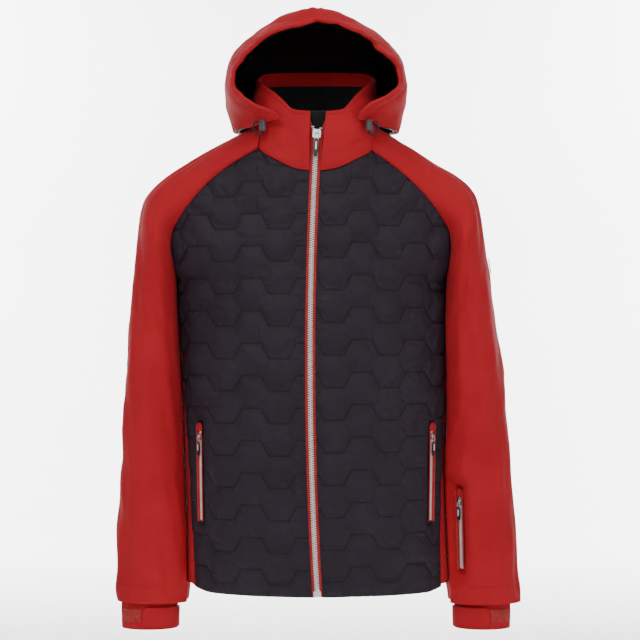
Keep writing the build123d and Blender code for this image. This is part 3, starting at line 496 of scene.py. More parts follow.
# %% Curves of the seams
raglan = smooth_curve([
    (0.0, 0.090, -0.008), (0.16, 0.130, -0.034), (0.32, 0.165, -0.063), (0.46, 0.191, -0.091),
    (0.60, 0.212, -0.120), (0.72, 0.2245, -0.150), (0.86, 0.2245, -0.188), (1.0, 0.2215, -0.225),
])
raglan_height = smooth_curve([
    (0.090, -0.008), (0.130, -0.034), (0.165, -0.063), (0.191, -0.091), (0.212, -0.120), (0.2245, -0.150),
])
side_seam = smooth_curve([
    (-0.735, 0.200), (-0.68, 0.2010), (-0.58, 0.2035), (-0.44, 0.2115), (-0.322, 0.2160), (-0.26, 0.2188),
    (-0.225, 0.2218), (-0.188, 0.2245), (-0.15, 0.2245),
])
hem_rise = smooth_curve([(0.0, 0.0), (0.17, 0.001), (0.195, 0.006), (0.215, 0.016)])


def neckline(x):
    """Height of the front neck seam."""
    share = x / 0.090
    return mix(-0.046, -0.008, share**2)


def front_top(x):
    """Top edge of a front panel: the neck seam, then the raglan seam."""
    return neckline(x) if x < 0.090 else raglan_height(x)


def back_top(x):
    """Top edge of the back: level at the neck, then down to the raglan seam."""
    fall = ease(0.087, 0.095, x)
    return mix(0.036, raglan_height(max(x, 0.090)), fall)


# %% [markdown]
# ## The quilting
#
# The padded fronts are embossed with rows of a wave made of straight steps: a flat, a short steep climb, a
# higher flat, and down again. Each row repeats the one below. The cloth is held along those lines and
# the wadding lifts it between them. So the distance from a point to the nearest line is all that is
# needed, both to hold the cloth there and to paint shade into the groove.

# %% The quilting wave
WAVE_LENGTH = 0.088
WAVE_CREST_X = 0.073
WAVE_FLAT = 0.031
WAVE_SLOPE = WAVE_LENGTH / 2 - WAVE_FLAT
WAVE_HEIGHT = 0.0245
ROW_HEIGHT = 0.0515
FIRST_ROW = {"left": -0.0576, "right": -0.0635}


def wave_level(x):
    """The wave's height at x and its slope."""
    phase = abs((x - WAVE_CREST_X + WAVE_LENGTH / 2) % WAVE_LENGTH - WAVE_LENGTH / 2)
    if phase < WAVE_FLAT / 2:
        return 0.0, 0.0
    if phase > WAVE_FLAT / 2 + WAVE_SLOPE:
        return -WAVE_HEIGHT, 0.0
    return -WAVE_HEIGHT * (phase - WAVE_FLAT / 2) / WAVE_SLOPE, WAVE_HEIGHT / WAVE_SLOPE


def quilt_distance(x, height, name):
    """How far a point is from the nearest quilting line."""
    level, slope = wave_level(x)
    above = (height - FIRST_ROW[name] - level) % ROW_HEIGHT
    straight = min(above, ROW_HEIGHT - above)
    return straight / math.sqrt(1 + slope**2)


# %% [markdown]
# ## Zips are set into the cloth
#
# A zip lies in a slot with its chain just below the cloth's face. Its pull's hinge and its slide say where
# it is, so the local directions come from the frame's joints. Cloth close to the zip is drawn flat, and
# under the chain it sinks out of the way.

# %% Find the zips


def zip_seat(slide, swing, plate, teeth_out, length):
    """The zip's own directions, as a matrix: x across, y up the chain, z out, at its slider."""
    across = -Vector(JOINTS[swing]["axis"]).normalized()
    eye = Vector(JOINTS[swing]["pos_m"])
    if JOINTS[slide]["type"] == "slide":
        up = -Vector(JOINTS[slide]["axis"]).normalized()
    else:
        turn_axis = Vector(JOINTS[slide]["axis"])
        up = turn_axis.cross(eye - Vector(JOINTS[slide]["pos_m"])).normalized()
    out = across.cross(up).normalized()
    across = up.cross(out)
    seat = eye - up * length * 0.2 - out * (teeth_out + 0.0004 + plate + 0.0017)
    return Matrix((
        (across.x, up.x, out.x, seat.x),
        (across.y, up.y, out.y, seat.y),
        (across.z, up.z, out.z, seat.z),
        (0, 0, 0, 1),
    ))


SHORT_ZIP_TOP = 0.020
SHORT_SLIDER = (0.0012, -0.0004, 0.010)
short_zips = {
    "pocket_right": (zip_seat("pocket_zip_slide_right", "pocket_pull_swing_right", *SHORT_SLIDER), 0.158),
    "pocket_left": (zip_seat("pocket_zip_slide_left", "pocket_pull_swing_left", *SHORT_SLIDER), 0.158),
    "sleeve_pocket": (zip_seat("arm_zip_slide", "arm_pull_swing", *SHORT_SLIDER), 0.132),
}
main_seat = zip_seat("main_zip_slide", "main_pull_swing", 0.0015, 0.0008, 0.015)
print("main slider at", list(main_seat.translation))


def seat_in_cloth(point, name, slot=0.0062, trench=0.0062):
    """Moves a point of cloth to the zip's plane, and under the zip itself into its slot."""
    seat, length = short_zips[name]
    local = seat.inverted() @ point
    along = local.y - SHORT_ZIP_TOP
    beyond = max(0.0, along - 0.004, -length - 0.004 - along)
    off = math.hypot(max(0.0, abs(local.x) - 0.009), beyond)
    if off > 0.03 or abs(local.z) > 0.04:
        return point, 1.0
    hold = 1 - ease(0.0, 0.03, off)
    sunk = (1 - ease(slot, slot + 0.0022, abs(local.x))) * (1 - ease(0.0, 0.003, beyond))
    local.z = mix(local.z, 0.0, hold) - trench * sunk
    return seat @ local, off


# %% [markdown]
# ## The quilted fronts
#
# Each front is a padded panel from the zip to the side seam. The grid's columns hang from the neck and
# raglan seams to the hem. Then the wadding is simulated: Blender's cloth is held at the seams and along
# the quilting lines, and a light pressure from behind lifts the rest and puckers it between them. How far
# a point may move is capped, because this wadding is thin.

# %% Lay out the front panels
FRONT_COLUMNS = 86
FRONT_ROWS = 236
ZIP_SLOT = 0.0083
PAD_INSET = 0.0012


def front_place(name, side):
    """Carries a point of the flat panel to the body's front."""

    def place(u, v):
        height = -0.3
        for _ in range(4):
            start = side * zip_x(height) + ZIP_SLOT
            x = mix(start, side_seam(height), u)
            top = front_top(x) if u < 1 else front_top(0.2245)
            low = HEM + hem_rise(x)
            height = mix(low, top, v)
        x = mix(side * zip_x(height) + ZIP_SLOT, side_seam(height), u)
        y = body_y(x, height, -1) + PAD_INSET
        spot = swayed(side, Vector((x, y, height)))
        return seat_in_cloth(spot, "pocket_" + name)[0]

    return place


LINE_HOLD = 0.0013
fronts = {}
for name, side in SIDES.items():
    cloth = sheet_of(FRONT_COLUMNS, FRONT_ROWS, (0.2, 0.7), front_place(name, side))
    face_out(cloth, lambda p: Vector((0, 0.05, p.z)))
    edge_points = {v.index for v in cloth.verts if v.is_boundary}
    held = []
    for point in cloth.verts:
        near_zip = seat_in_cloth(point.co, "pocket_" + name)[1] < 0.006
        if point.index in edge_points or near_zip:
            held.append(point.index)
        elif quilt_distance(point.co.x, point.co.z, name) < LINE_HOLD:
            held.append(point.index)
    mesh = bpy.data.meshes.new("quilted_front_" + name)
    cloth.to_mesh(mesh)
    cloth.free()
    piece = bpy.data.objects.new("quilted_front_" + name, mesh)
    bpy.context.scene.collection.objects.link(piece)
    group = piece.vertex_groups.new(name="held")
    group.add(held, 1.0, "REPLACE")
    fronts[name] = piece
    print(piece.name, len(mesh.vertices), "points,", len(held), "held")

# %% Let the wadding lift the cloth
PUFF_FRAMES = 20
PUFF_CAP = 0.0042


def start_puff(piece, pressure):
    """Adds the cloth simulation: held at its group, lifted by pressure, with no weight."""
    cloth = piece.modifiers.new("wadding", "CLOTH")
    cloth.settings.quality = 4
    cloth.settings.mass = 0.2
    cloth.settings.tension_stiffness = 8
    cloth.settings.compression_stiffness = 8
    cloth.settings.shear_stiffness = 3
    cloth.settings.bending_stiffness = 0.15
    cloth.settings.shrink_min = -0.03
    cloth.settings.use_pressure = True
    cloth.settings.uniform_pressure_force = pressure
    cloth.settings.vertex_group_mass = "held"
    cloth.settings.pin_stiffness = 1.0
    cloth.settings.effector_weights.gravity = 0
    cloth.collision_settings.use_collision = False
    cloth.point_cache.frame_start = 1
    cloth.point_cache.frame_end = PUFF_FRAMES


def keep_puff(piece, cap):
    """Takes the simulated places, none further than cap from the start, and ends the simulation."""
    depsgraph = bpy.context.evaluated_depsgraph_get()
    settled = piece.evaluated_get(depsgraph).data
    largest = 0.0
    for point, moved in zip(piece.data.vertices, settled.vertices):
        step = moved.co - point.co
        largest = max(largest, step.length)
        if step.length > cap:
            step = step * (cap / step.length)
        point.co = point.co + step
    piece.modifiers.clear()
    print(piece.name, "moved at most", round(largest * 1000, 1), "mm before the cap")


for piece in fronts.values():
    start_puff(piece, 4.0)
for step in range(1, PUFF_FRAMES + 1):
    bpy.context.scene.frame_set(step)
for piece in fronts.values():
    keep_puff(piece, PUFF_CAP)
bpy.context.scene.frame_set(1)

# %% [markdown]
# The simulation holds the lines but doesn't cut them in. So after one round of subdivision, each point near
# a line is pressed in a little and marked, and the marks paint shade into the groove's colour.

# %% Press the quilting lines
GROOVE_HALF = 0.0024
GROOVE_DEPTH = 0.0011

for name, piece in fronts.items():
    cloth = bmesh.new()
    cloth.from_mesh(piece.data)
    bmesh.ops.smooth_vert(cloth, verts=[v for v in cloth.verts if not v.is_boundary], factor=0.3,
                          use_axis_x=True, use_axis_y=True, use_axis_z=True)
    bmesh.ops.subdivide_edges(cloth, edges=cloth.edges, cuts=1, use_grid_fill=True, smooth=0.0)
    cloth.normal_update()
    mark = cloth.verts.layers.float.new("quilt_groove_shade")
    presses = []
    for point in cloth.verts:
        away = quilt_distance(point.co.x, point.co.z, name)
        at_zip = seat_in_cloth(point.co, "pocket_" + name)[1]
        clear = ease(0.004, 0.012, at_zip)
        line = math.exp(-((away / GROOVE_HALF) ** 2)) * clear
        ripple = noise.noise(point.co * 90) * 0.0006 * math.exp(-((away / 0.012) ** 2)) * clear
        # Painted shade: how far the groove's colour is darkened at this point.
        point[mark] = 0.85 * math.exp(-((away / 0.00085) ** 2)) * clear
        presses.append((point, point.normal * (ripple - GROOVE_DEPTH * line)))
    for point, press in presses:
        point.co += press
    cloth.to_mesh(piece.data)
    cloth.free()
    piece.data.shade_smooth()
    piece.data.materials.append(dark_cloth)
    wall = piece.modifiers.new("wall", "SOLIDIFY")
    wall.thickness = 0.0035
    wall.offset = -1
    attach(piece, "jacket")
    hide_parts("front_panel_" + name)
    print(piece.name, len(piece.data.vertices), "points")

# %% [markdown]
# ## Back, side panels, hem facing and linings
#
# The back is one wide piece of shell cloth. It hangs in slow vertical folds, which a few waves of noise
# along the cloth give. Red side panels join it to the fronts under the arms. Inside, a taffeta lining
# follows the same curves a little further in, and the shell cloth is turned up at the hem.

# %% The back and the side panels


def soft_folds(point, strength, wide=0.07, tall=0.28):
    """Slow folds that run down the cloth: noise stretched along the height."""
    at = Vector((point.x / wide, point.y / wide, point.z / tall))
    slow = noise.noise(at)
    quick = noise.noise(at * 2.3 + Vector((7.1, 3.3, 1.7)))
    return strength * (slow + 0.4 * quick)


def back_place(inset=0.0, folds=0.0035):
    """Carries a point of the flat back to the body, u from one side seam to the other."""

    def place(u, v):
        side = -1 if u < 0.5 else 1
        share = abs(u - 0.5) * 2
        height = -0.3
        for _ in range(4):
            x = share * (side_seam(height) - inset)
            height = mix(HEM + hem_rise(x), back_top(x), v)
        x = share * (side_seam(height) - inset)
        y = body_y(x, height, 1) - inset
        spot = swayed(side, Vector((x, y, height)))
        loose = ease(0.0, 0.12, 1 - share) * ease(0.0, 0.1, v) * ease(0.0, 0.12, 1 - v)
        spot.y += soft_folds(spot, folds) * loose
        return spot

    return place


back = sheet_of(60, 92, (0.5, 0.76), back_place())
face_out(back, lambda p: Vector((0, 0, p.z)))
back_piece = finished("back_cloth", back, red_cloth, ["back_panel"], wall=0.003)
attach(back_piece, "jacket")


def side_place(side):
    """Carries a side panel to the body, u from its front seam to its back seam."""

    def place(u, v):
        height = mix(HEM + 0.012, ARMPIT, v)
        half, deep, middle = body_oval(height)
        seam = min(side_seam(height) - 0.0006, half)
        front = math.acos(min(1.0, seam / half))
        turn = mix(-front, front, u)
        bulge = 0.0015 * math.sin(math.pi * u)
        x = (half + bulge) * math.cos(turn)
        return Vector((side * x + sway(height), middle + deep * math.sin(turn), height))

    return place


for name, side in SIDES.items():
    strip = sheet_of(14, 80, (0.1, 0.5), side_place(side))
    face_out(strip, lambda p: Vector((0, 0, p.z)))
    piece = finished("side_strip_" + name, strip, red_cloth, ["side_panel_" + name], wall=0.003)
    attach(piece, "jacket")

# %% The linings and the hem facing
LINING_INSET = 0.0092
FACING_HEIGHT = 0.030


def lining_place(side):
    """Carries half of the lining to the inside of the body, from the zip to the middle of the back."""

    def place(u, v):
        height = mix(HEM + 0.022, -0.05, v)
        half, deep, middle = body_oval(height)
        start = math.asin((ZIP_SLOT + 0.012) / half)
        turn = mix(start, math.pi, u)
        inset = LINING_INSET + 0.002
        spread = min(half, 0.222) - inset
        y = middle - (deep - inset) * math.cos(turn)
        spot = Vector((side * spread * math.sin(turn) + sway(height) * 0.7, y, height))
        spot.y += soft_folds(spot, 0.0015) * math.sin(math.pi * u)
        return spot

    return place


for name, side in SIDES.items():
    cloth = sheet_of(60, 70, (0.5, 0.65), lining_place(side))
    face_out(cloth, lambda p: Vector((0, 0, p.z)))
    stood_for = ["lining_front_" + name] + (["lining_back"] if name == "left" else [])
    piece = finished("body_lining_" + name, cloth, lining_cloth, stood_for, wall=0.001)
    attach(piece, "jacket")


def facing_place(u, v):
    """Carries the turned-up hem round the inside of the body, from one zip edge to the other."""
    height = HEM + 0.002 + FACING_HEIGHT * v
    half, deep, middle = body_oval(height)
    start = math.asin(0.023 / half)
    turn = mix(start, math.tau - start, u)
    inset = 0.0058
    x = (half - inset) * math.sin(turn)
    return Vector((x, middle - (deep - inset) * math.cos(turn), height + hem_rise(abs(x))))


facing = sheet_of(120, 6, (1.1, 0.03), facing_place)
face_out(facing, lambda p: Vector((0, 0, p.z)))
piece = finished("hem_facing_cloth", facing, facing_cloth, ["hem_facing"], wall=0.0012)
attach(piece, "jacket")

# %% [markdown]
# ## The raglan shoulders and sleeves
#
# A raglan sleeve runs from the neck to the wrist in one cloth. Its grid starts at the neck, where each
# row is an arch from the front seam over the shoulder to the back seam. Going down, the arches close in
# on the armpit and become the rings of a tube, so one grid makes the whole sleeve. It hangs against the
# body, so its inner side keeps just clear of the body's oval. The grid is cut in three lengths, above and
# below the elbow; the top and elbow lengths stay fixed in place, and the forearm's length moves with the
# forearm.

# %% Curves of the sleeve
ridge = smooth_curve([
    (0.0, 0.086, 0.043), (0.12, 0.136, 0.014), (0.26, 0.171, -0.006), (0.36, 0.206, -0.027),
    (0.46, 0.238, -0.047), (0.54, 0.260, -0.066), (0.62, 0.2725, -0.086), (0.70, 0.2775, -0.108),
    (0.80, 0.2835, -0.146), (0.90, 0.289, -0.185), (1.0, 0.2945, -0.225),
])
# Height, outer edge, front and back half depth, and how far forward the sleeve hangs
sleeve_shape = smooth_curve([
    (-0.760, 0.3300, 0.0475, 0.0485, 0.0), (-0.748, 0.3325, 0.0490, 0.0500, 0.0),
    (-0.700, 0.3310, 0.0530, 0.0540, 0.0), (-0.619, 0.3270, 0.0575, 0.0590, 0.0),
    (-0.540, 0.3225, 0.0620, 0.0650, 0.0), (-0.440, 0.3165, 0.0730, 0.0750, 0.0),
    (-0.361, 0.3095, 0.0810, 0.0800, 0.0), (-0.282, 0.3010, 0.0860, 0.0840, 0.0),
    (-0.225, 0.2945, 0.0870, 0.0860, 0.0), (-0.185, 0.2890, 0.0870, 0.0860, 0.0),
    (-0.146, 0.2835, 0.0860, 0.0860, 0.0),
])
sleeve_inner = {
    "right": smooth_curve([
        (-0.760, 0.212), (-0.70, 0.200), (-0.58, 0.1985), (-0.44, 0.2055), (-0.322, 0.2100), (-0.225, 0.2150),
    ]),
    "left": smooth_curve([
        (-0.760, 0.204), (-0.70, 0.197), (-0.58, 0.1970), (-0.44, 0.2040), (-0.322, 0.2090), (-0.225, 0.2150),
    ]),
}
BODY_CLEARANCE = 0.003
SLEEVE_HEM = -0.748


def sleeve_ring(name, u, height):
    """A point of the closed sleeve, u from the inner seam round the front, outside and back."""
    outer, front, back, forward = sleeve_shape(height)
    inner = sleeve_inner[name](height)
    turn = math.tau * u
    middle = (outer + inner) / 2
    half = (outer - inner) / 2
    deep = front if u < 0.5 else back
    y = forward - deep * math.sin(turn)
    x = middle - half * math.copysign(abs(math.cos(turn)) ** 0.9, math.cos(turn))
    body = body_half(height)
    if height > ARMPIT:
        body = body_half(ARMPIT)
    _, body_deep, body_middle = body_oval(height)
    reach = 1 - ((y - body_middle) / body_deep) ** 2
    if reach > 0:
        wall = body * math.sqrt(reach) + BODY_CLEARANCE
        gap = 0.004
        pushed = (x + wall + math.sqrt((x - wall) ** 2 + gap**2)) / 2
        x = min(pushed, outer - 0.004) if x < middle else x
    return Vector((x, y, height))


def shoulder_arch(name, u, q):
    """A point of the shoulder, q from the neck to the armpit, u from the front seam to the back seam."""
    seam_x, seam_z = raglan(q)
    top_x, top_z = ridge(q)
    front = body_y(min(seam_x, 0.2215) if q > 0.99 else seam_x, seam_z, -1)
    back = body_y(min(seam_x, 0.2215) if q > 0.99 else seam_x, seam_z, 1)
    closing = ease(0.35, 1.0, q)
    turn = math.pi * u
    y = front * max(0.0, math.cos(turn)) + back * max(0.0, -math.cos(turn))
    y -= closing * 0.086 * math.sin(2 * turn)
    out = mix(math.sin(turn) ** 0.92, (1 - math.cos(2 * turn)) / 2, closing)
    x = mix(seam_x, top_x, out)
    z = mix(seam_z, top_z, out)
    ring = sleeve_ring(name, u, z)
    share = ease(0.7, 1.0, q)
    return Vector((x, y, z)).lerp(ring, share)


CAP_SHARE = 0.32
SLEEVE_COLUMNS = 84
SLEEVE_ROWS = 150


def arm_folds(spot, name, u, height):
    """The sleeve's long slanting folds, and the crease from the shoulder tip to the raglan seam."""
    turn = math.tau * u
    round_x, round_y = math.cos(turn), math.sin(turn)
    lean = Vector((round_x * 1.1, round_y * 1.1, height / 0.17 + round_x * 0.6))
    seed = Vector((3.1, 0, 0)) if name == "left" else Vector((0, 5.7, 0))
    push = 0.0068 * noise.noise(lean + seed) + 0.0040 * noise.noise(lean * 2.7 + seed)
    elbow = math.exp(-(((height + 0.41) / 0.06) ** 2))
    push += 0.0024 * elbow * noise.noise(Vector((round_x * 2, round_y * 2, height / 0.02)) + seed)
    armpit = math.exp(-(((height + 0.24) / 0.08) ** 2)) * abs(round_y)
    push += 0.0036 * armpit * noise.noise(Vector((height / 0.025 + round_x * 3, round_x * 3, 1.3)) + seed)
    return push


def sleeve_place(name, side, inset=0.0):
    """Carries a point of the flat sleeve, v from the neck to the wrist and then back up inside."""

    def place(u, v):
        if v < CAP_SHARE:
            q = v / CAP_SHARE
            spot = shoulder_arch(name, u, q)
            loose = ease(0.0, 0.25, q) * math.sin(math.pi * u)
        else:
            along = (v - CAP_SHARE) / (1 - CAP_SHARE)
            height = mix(ARMPIT, SLEEVE_HEM, min(along, 2 - along))
            spot = sleeve_ring(name, u, height)
            loose = 1.0
        centre = Vector((0.262, 0.0, spot.z))
        away = spot - centre
        away.z = 0
        if v < CAP_SHARE:
            away = away.lerp(Vector((0.1, 0, 0.1)), 1 - ease(0.5, 1.0, v / CAP_SHARE))
        hem = ease(0.0, 0.03, abs(1 - v))
        push = arm_folds(spot, name, u, spot.z) * loose * hem
        if v > CAP_SHARE * 0.8:
            push *= ease(0.0, 0.12, min(u, 1 - u))
        turned_in = 0.0035 * ease(0.0, 0.004, v - 1)
        spot += away.normalized() * (push - turned_in - inset)
        spot = swayed(side, spot)
        if name == "left" and v > 0.6:
            spot, off = seat_in_cloth(spot, "sleeve_pocket", slot=0.0056)
            if inset:
                spot -= short_zips["sleeve_pocket"][0].col[2].to_3d() * 0.014 * (1 - ease(0.0, 0.03, off))
        return spot

    return place


UPPER_END = -0.335
LOWER_START = -0.47


def height_share(height):
    """Where a height lies down the sleeve's grid."""
    return CAP_SHARE + (1 - CAP_SHARE) * (ARMPIT - height) / (ARMPIT - SLEEVE_HEM)


def bend_at_shoulder(piece):
    """Bakes a piece of the upper arm's cloth in place where it hangs from the raglan seam, fixed to no body.
    """
    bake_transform(piece)


def part_of_sleeve(name, side, start, stop, rows, columns, inset=0.0):
    """One length of the sleeve, between two shares of its grid."""
    whole = sleeve_place(name, side, inset)
    cloth = sheet_of(
        columns, rows, (0.4, (stop - start) * 0.95),
        lambda u, v: whole(u, mix(start, stop, v)), welded=True,
    )
    face_out(cloth, lambda p: Vector((side * 0.2, 0, p.z - 0.06 * ease(-0.12, 0.0, p.z))))
    return cloth


upper_share, lower_share = height_share(UPPER_END), height_share(LOWER_START)
sleeve_steps = {
    "sleeve_top_": (0.0, upper_share, 74),
    "elbow_cloth_": (upper_share, lower_share, 26),
    "forearm_cloth_": (lower_share, 1.02, 54),
    "lining_top_": (CAP_SHARE * 0.99, upper_share, 20),
    "lining_elbow_": (upper_share, lower_share, 14),
    "lining_forearm_": (lower_share, 0.99, 26),
}
LINING_GAP = 0.010
stands_for = {
    "sleeve_top_": ["shoulder_", "upper_sleeve_"],
    "forearm_cloth_": ["lower_sleeve_"],
    "lining_top_": ["upper_lining_"],
    "lining_forearm_": ["lower_lining_"],
}
for name, side in SIDES.items():
    for label, (start, stop, rows) in sleeve_steps.items():
        inside = label.startswith("lining")
        with_pocket = label == "forearm_cloth_" and name == "left"
        grid = (96, 168) if with_pocket else (rows, SLEEVE_COLUMNS)
        cloth = part_of_sleeve(name, side, start, stop, *grid, LINING_GAP if inside else 0.0)
        replaced = [node + name for node in stands_for.get(label, [])]
        finish, slot = (lining_cloth, "lining_cloth") if inside else (red_cloth, "shell_cloth")
        piece = finished(label + name, cloth, finish, replaced)
        if "top" in label:
            bend_at_shoulder(piece)
        elif "elbow" in label:
            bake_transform(piece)
        else:
            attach(piece, "forearm_" + name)

# %% [markdown]
# ## The collar
#
# The stand collar rises from the neck seam to a rim that is low in front and high behind. Cloth in a
# collar runs in straight lines from seam to rim, so each column of the grid is a line between two
# curves. The red facing is the collar's own wall turned over the rim, and black fleece lines the rest.

# %% Curves of the collar
collar_seam = smooth_curve([
    (0.0, 0.0083, -0.0455), (0.12, 0.034, -0.041), (0.24, 0.062, -0.028), (0.36, 0.0905, -0.0100),
    (0.45, 0.0990, 0.010), (0.55, 0.099, 0.030),
])
collar_rim = smooth_curve([
    (0.0, 0.0125, -0.0885, 0.0515), (0.12, 0.0300, -0.0870, 0.0530), (0.20, 0.0410, -0.0850, 0.0555),
    (0.27, 0.0530, -0.0790, 0.0680), (0.36, 0.0700, -0.0620, 0.0860), (0.47, 0.0900, -0.0250, 0.1030),
    (0.58, 0.0985, 0.0050, 0.1120), (0.72, 0.0880, 0.0400, 0.1260), (0.86, 0.0500, 0.0600, 0.1310),
    (1.0, 0.0, 0.0660, 0.1320),
])


def collar_foot(t):
    """The neck seam, from the zip round to the middle of the back."""
    if t <= 0.55:
        x, z = collar_seam(t)
        depth_share = ease(0.36, 0.55, t)
        return Vector((x, mix(body_y(x, z, -1), 0.0, depth_share) - 0.0012, z))
    turn = (t - 0.55) / 0.45 * math.pi / 2
    return Vector((0.099 * math.cos(turn), 0.068 * math.sin(turn), mix(0.032, 0.036, math.sin(turn))))


def collar_place(inset=0.0, start=0.0, stop=1.0, edge=0.0):
    """Carries a point of the flat collar to its place, u from the right zip edge to the left one."""

    def place(u, v):
        side = -1 if u < 0.5 else 1
        t = mix(edge, 1.0, 1 - abs(2 * u - 1))
        up = mix(start, stop, v)
        foot, rim = collar_foot(t), collar_rim(t)
        spot = foot.lerp(rim, up)
        swell = 0.0045 * math.sin(math.pi * up)
        outward = Vector((spot.x, spot.y * 1.3, 0)).normalized()
        front_fold = math.exp(-(((t - 0.24) / 0.06) ** 2)) * math.sin(math.pi * min(1.0, up * 1.1))
        crease = 0.0050 * math.sin(9 * up + 12 * t + (1.5 if side < 0 else 0.2)) * front_fold
        wrinkle = 0.0036 * noise.noise(Vector((spot.x * side * 30, spot.y * 24, spot.z * 62 + side)))
        wrinkle += 0.0040 * noise.noise(Vector((spot.x * side * 14, spot.y * 12, spot.z * 20 - side)))
        soft = math.sin(math.pi * up) * ease(0.0, 0.08, t)
        spot += outward * (swell + (wrinkle + crease) * soft - inset)
        spot.x = side * spot.x + zip_x(spot.z) * (1 - ease(0.02, 0.09, spot.x))
        return spot

    return place


collar = sheet_of(120, 34, (0.5, 0.1), collar_place())
face_out(collar, lambda p: Vector((0, 0, p.z)))
piece = finished("collar_cloth", collar, red_cloth, ["collar"], wall=0.0045)
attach(piece, "jacket")

inside = sheet_of(110, 24, (0.5, 0.1), collar_place(inset=0.0062, start=0.02, stop=0.76, edge=0.07))
face_out(inside, lambda p: Vector((0, 0, p.z)))
piece = finished("collar_fleece", inside, fleece, ["collar_lining"], wall=0.0018)
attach(piece, "jacket")

# %% [markdown]
# ## The storm flap and chin guard
#
# Behind the zip a strip of fleece-backed cloth keeps the wind out. Its top shows in the collar's V as the
# chin guard. It follows the zip's own bow.

# %% The storm flap
FLAP_HALF = 0.019


def flap_place(u, v):
    """Carries the flap to its place behind the zip."""
    height = mix(HEM + 0.012, 0.053, v)
    across = mix(-FLAP_HALF, FLAP_HALF, u)
    x = zip_x(height) + across
    bow = 0.0012 * math.cos(math.pi * (u - 0.5)) * ease(0.0, 0.06, height)
    return Vector((x, -front_depth(height) + 0.0078 + 3.2 * across**2 - bow, height))


flap = sheet_of(10, 130, (0.042, 0.77), flap_place)
face_out(flap, lambda p: Vector((0, 0.2, p.z)))
piece = finished("storm_strip", flap, fleece, ["storm_flap"], wall=0.001)
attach(piece, "jacket")

# %% [markdown]
# ## The hood
#
# A raised hood is a dome whose front is open. Each row of its grid is level and runs from one edge of the
# face opening, round the back, to the other edge. Above the opening the rows close and shrink to the
# crown. The hood's edge is drawn in by an elastic, so the cloth there gathers in short uneven puckers.
# Its foot is sewn at the neck, and the hood stays fixed in place.

# %% Curves of the hood
HOOD_FOOT = 0.026
FACE_TOP = 0.199
hood_shape = smooth_curve([
    (0.010, 0.131, 0.106, 0.100), (0.035, 0.1385, 0.112, 0.112), (0.054, 0.1445, 0.116, 0.126),
    (0.074, 0.1505, 0.117, 0.138), (0.100, 0.1525, 0.114, 0.148), (0.133, 0.1455, 0.108, 0.152),
    (0.153, 0.1355, 0.101, 0.148), (0.173, 0.1195, 0.093, 0.140), (0.193, 0.0985, 0.083, 0.122),
    (0.212, 0.0655, 0.066, 0.092), (0.224, 0.0390, 0.045, 0.060), (0.2315, 0.0, 0.0, 0.0),
])
# Height, and how wide the face opening is on the wearer's right and left
face_edge = smooth_curve([
    (0.026, 0.050, 0.066), (0.042, 0.060, 0.070), (0.057, 0.096, 0.086), (0.070, 0.116, 0.112),
    (0.098, 0.1335, 0.1365), (0.122, 0.1290, 0.1330), (0.141, 0.1150, 0.1165), (0.160, 0.0935, 0.0970),
    (0.180, 0.0610, 0.0660), (0.192, 0.0300, 0.0350), (0.199, 0.0, 0.0),
])
HOOD_MIDDLE_Y = 0.018
HOOD_HEM = 0.020


def hood_place(inset=0.0, from_edge=0.0, gathers=1.0):
    """Carries a point of the flat hood to the dome, v from the foot to the crown."""
    opening_share = 0.8

    def place(u, v):
        across = 2 * u - 1
        side = -1 if across < 0 else 1
        foot = HOOD_FOOT + 0.010 * math.exp(-(((1 - abs(across)) / 0.12) ** 2))
        if v < opening_share:
            height = mix(foot, FACE_TOP, v / opening_share)
        else:
            crown = (v - opening_share) / (1 - opening_share)
            height = mix(FACE_TOP, 0.2315, math.sin(crown * math.pi / 2))
        half, front, back = hood_shape(height)
        edges = face_edge(height)
        edge = edges[0] if side < 0 else edges[1]
        start = math.asin(min(0.999, edge / half)) if half > edge > 0 else 0.0
        if v >= opening_share:
            start = 0.0
        turn = mix(math.pi, start, abs(across))
        turn += from_edge * abs(across) ** 6
        lower = inset * ease(0.1, 0.2315, height)
        deep = (front + back) / 2 - inset
        middle = (back - front) / 2
        x = (half - inset) * math.sin(turn) if half > inset else 0.0
        y = middle - max(deep, 0.0) * math.cos(turn)
        near = ease(0.55, 1.0, abs(across)) if v < opening_share else 0.0
        draw = 0.050 * near * math.sin(start) * ease(0.03, 0.075, height)
        y -= draw
        spot = Vector((side * x, y, height - lower))
        rim = math.exp(-(((1 - abs(across)) / 0.13) ** 2)) * (1.0 if v < opening_share else 0.7)
        high = ease(0.09, 0.17, height)
        round_face = math.atan2(spot.x, spot.z - 0.085) * 0.13
        edge_away = (1 - abs(across)) * (math.pi - start) * max(deep, 0.0)
        pucker = noise.noise(Vector((round_face / 0.010, edge_away / 0.045, 2.0)))
        pucker += 0.7 * noise.noise(Vector((round_face / 0.023, edge_away / 0.06, 5.0)))
        seam = 0.0018 * math.exp(-(((edge_away - HOOD_HEM) / 0.0035) ** 2))
        slow = noise.noise(Vector((spot.x * 16, spot.y * 13, spot.z * 16)))
        fine = noise.noise(Vector((spot.x * 45, spot.y * 35, spot.z * 45)))
        gathered = 0.0060 * pucker * rim * mix(0.35, 1.0, high)
        push = gathers * (gathered + 0.0048 * slow + 0.0026 * fine * mix(0.4, 1.0, high) - seam)
        out = Vector((spot.x, spot.y - HOOD_MIDDLE_Y, (spot.z - 0.09) * 0.8)).normalized()
        return spot + out * push

    return place


hood = sheet_of(124, 74, (0.75, 0.3), hood_place(), welded=True)
face_out(hood, lambda p: Vector((0, 0.02, 0.09)))
hood_piece = finished("hood_cloth", hood, red_cloth, ["hood_shell"], wall=0.0055)
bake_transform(hood_piece)

liner = sheet_of(90, 52, (0.7, 0.28), hood_place(inset=0.0078, from_edge=0.055, gathers=0.5), welded=True)
face_out(liner, lambda p: Vector((0, 0.02, 0.09)))
liner_piece = finished("hood_liner", liner, lining_cloth, ["hood_lining"], wall=0.001)
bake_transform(liner_piece)

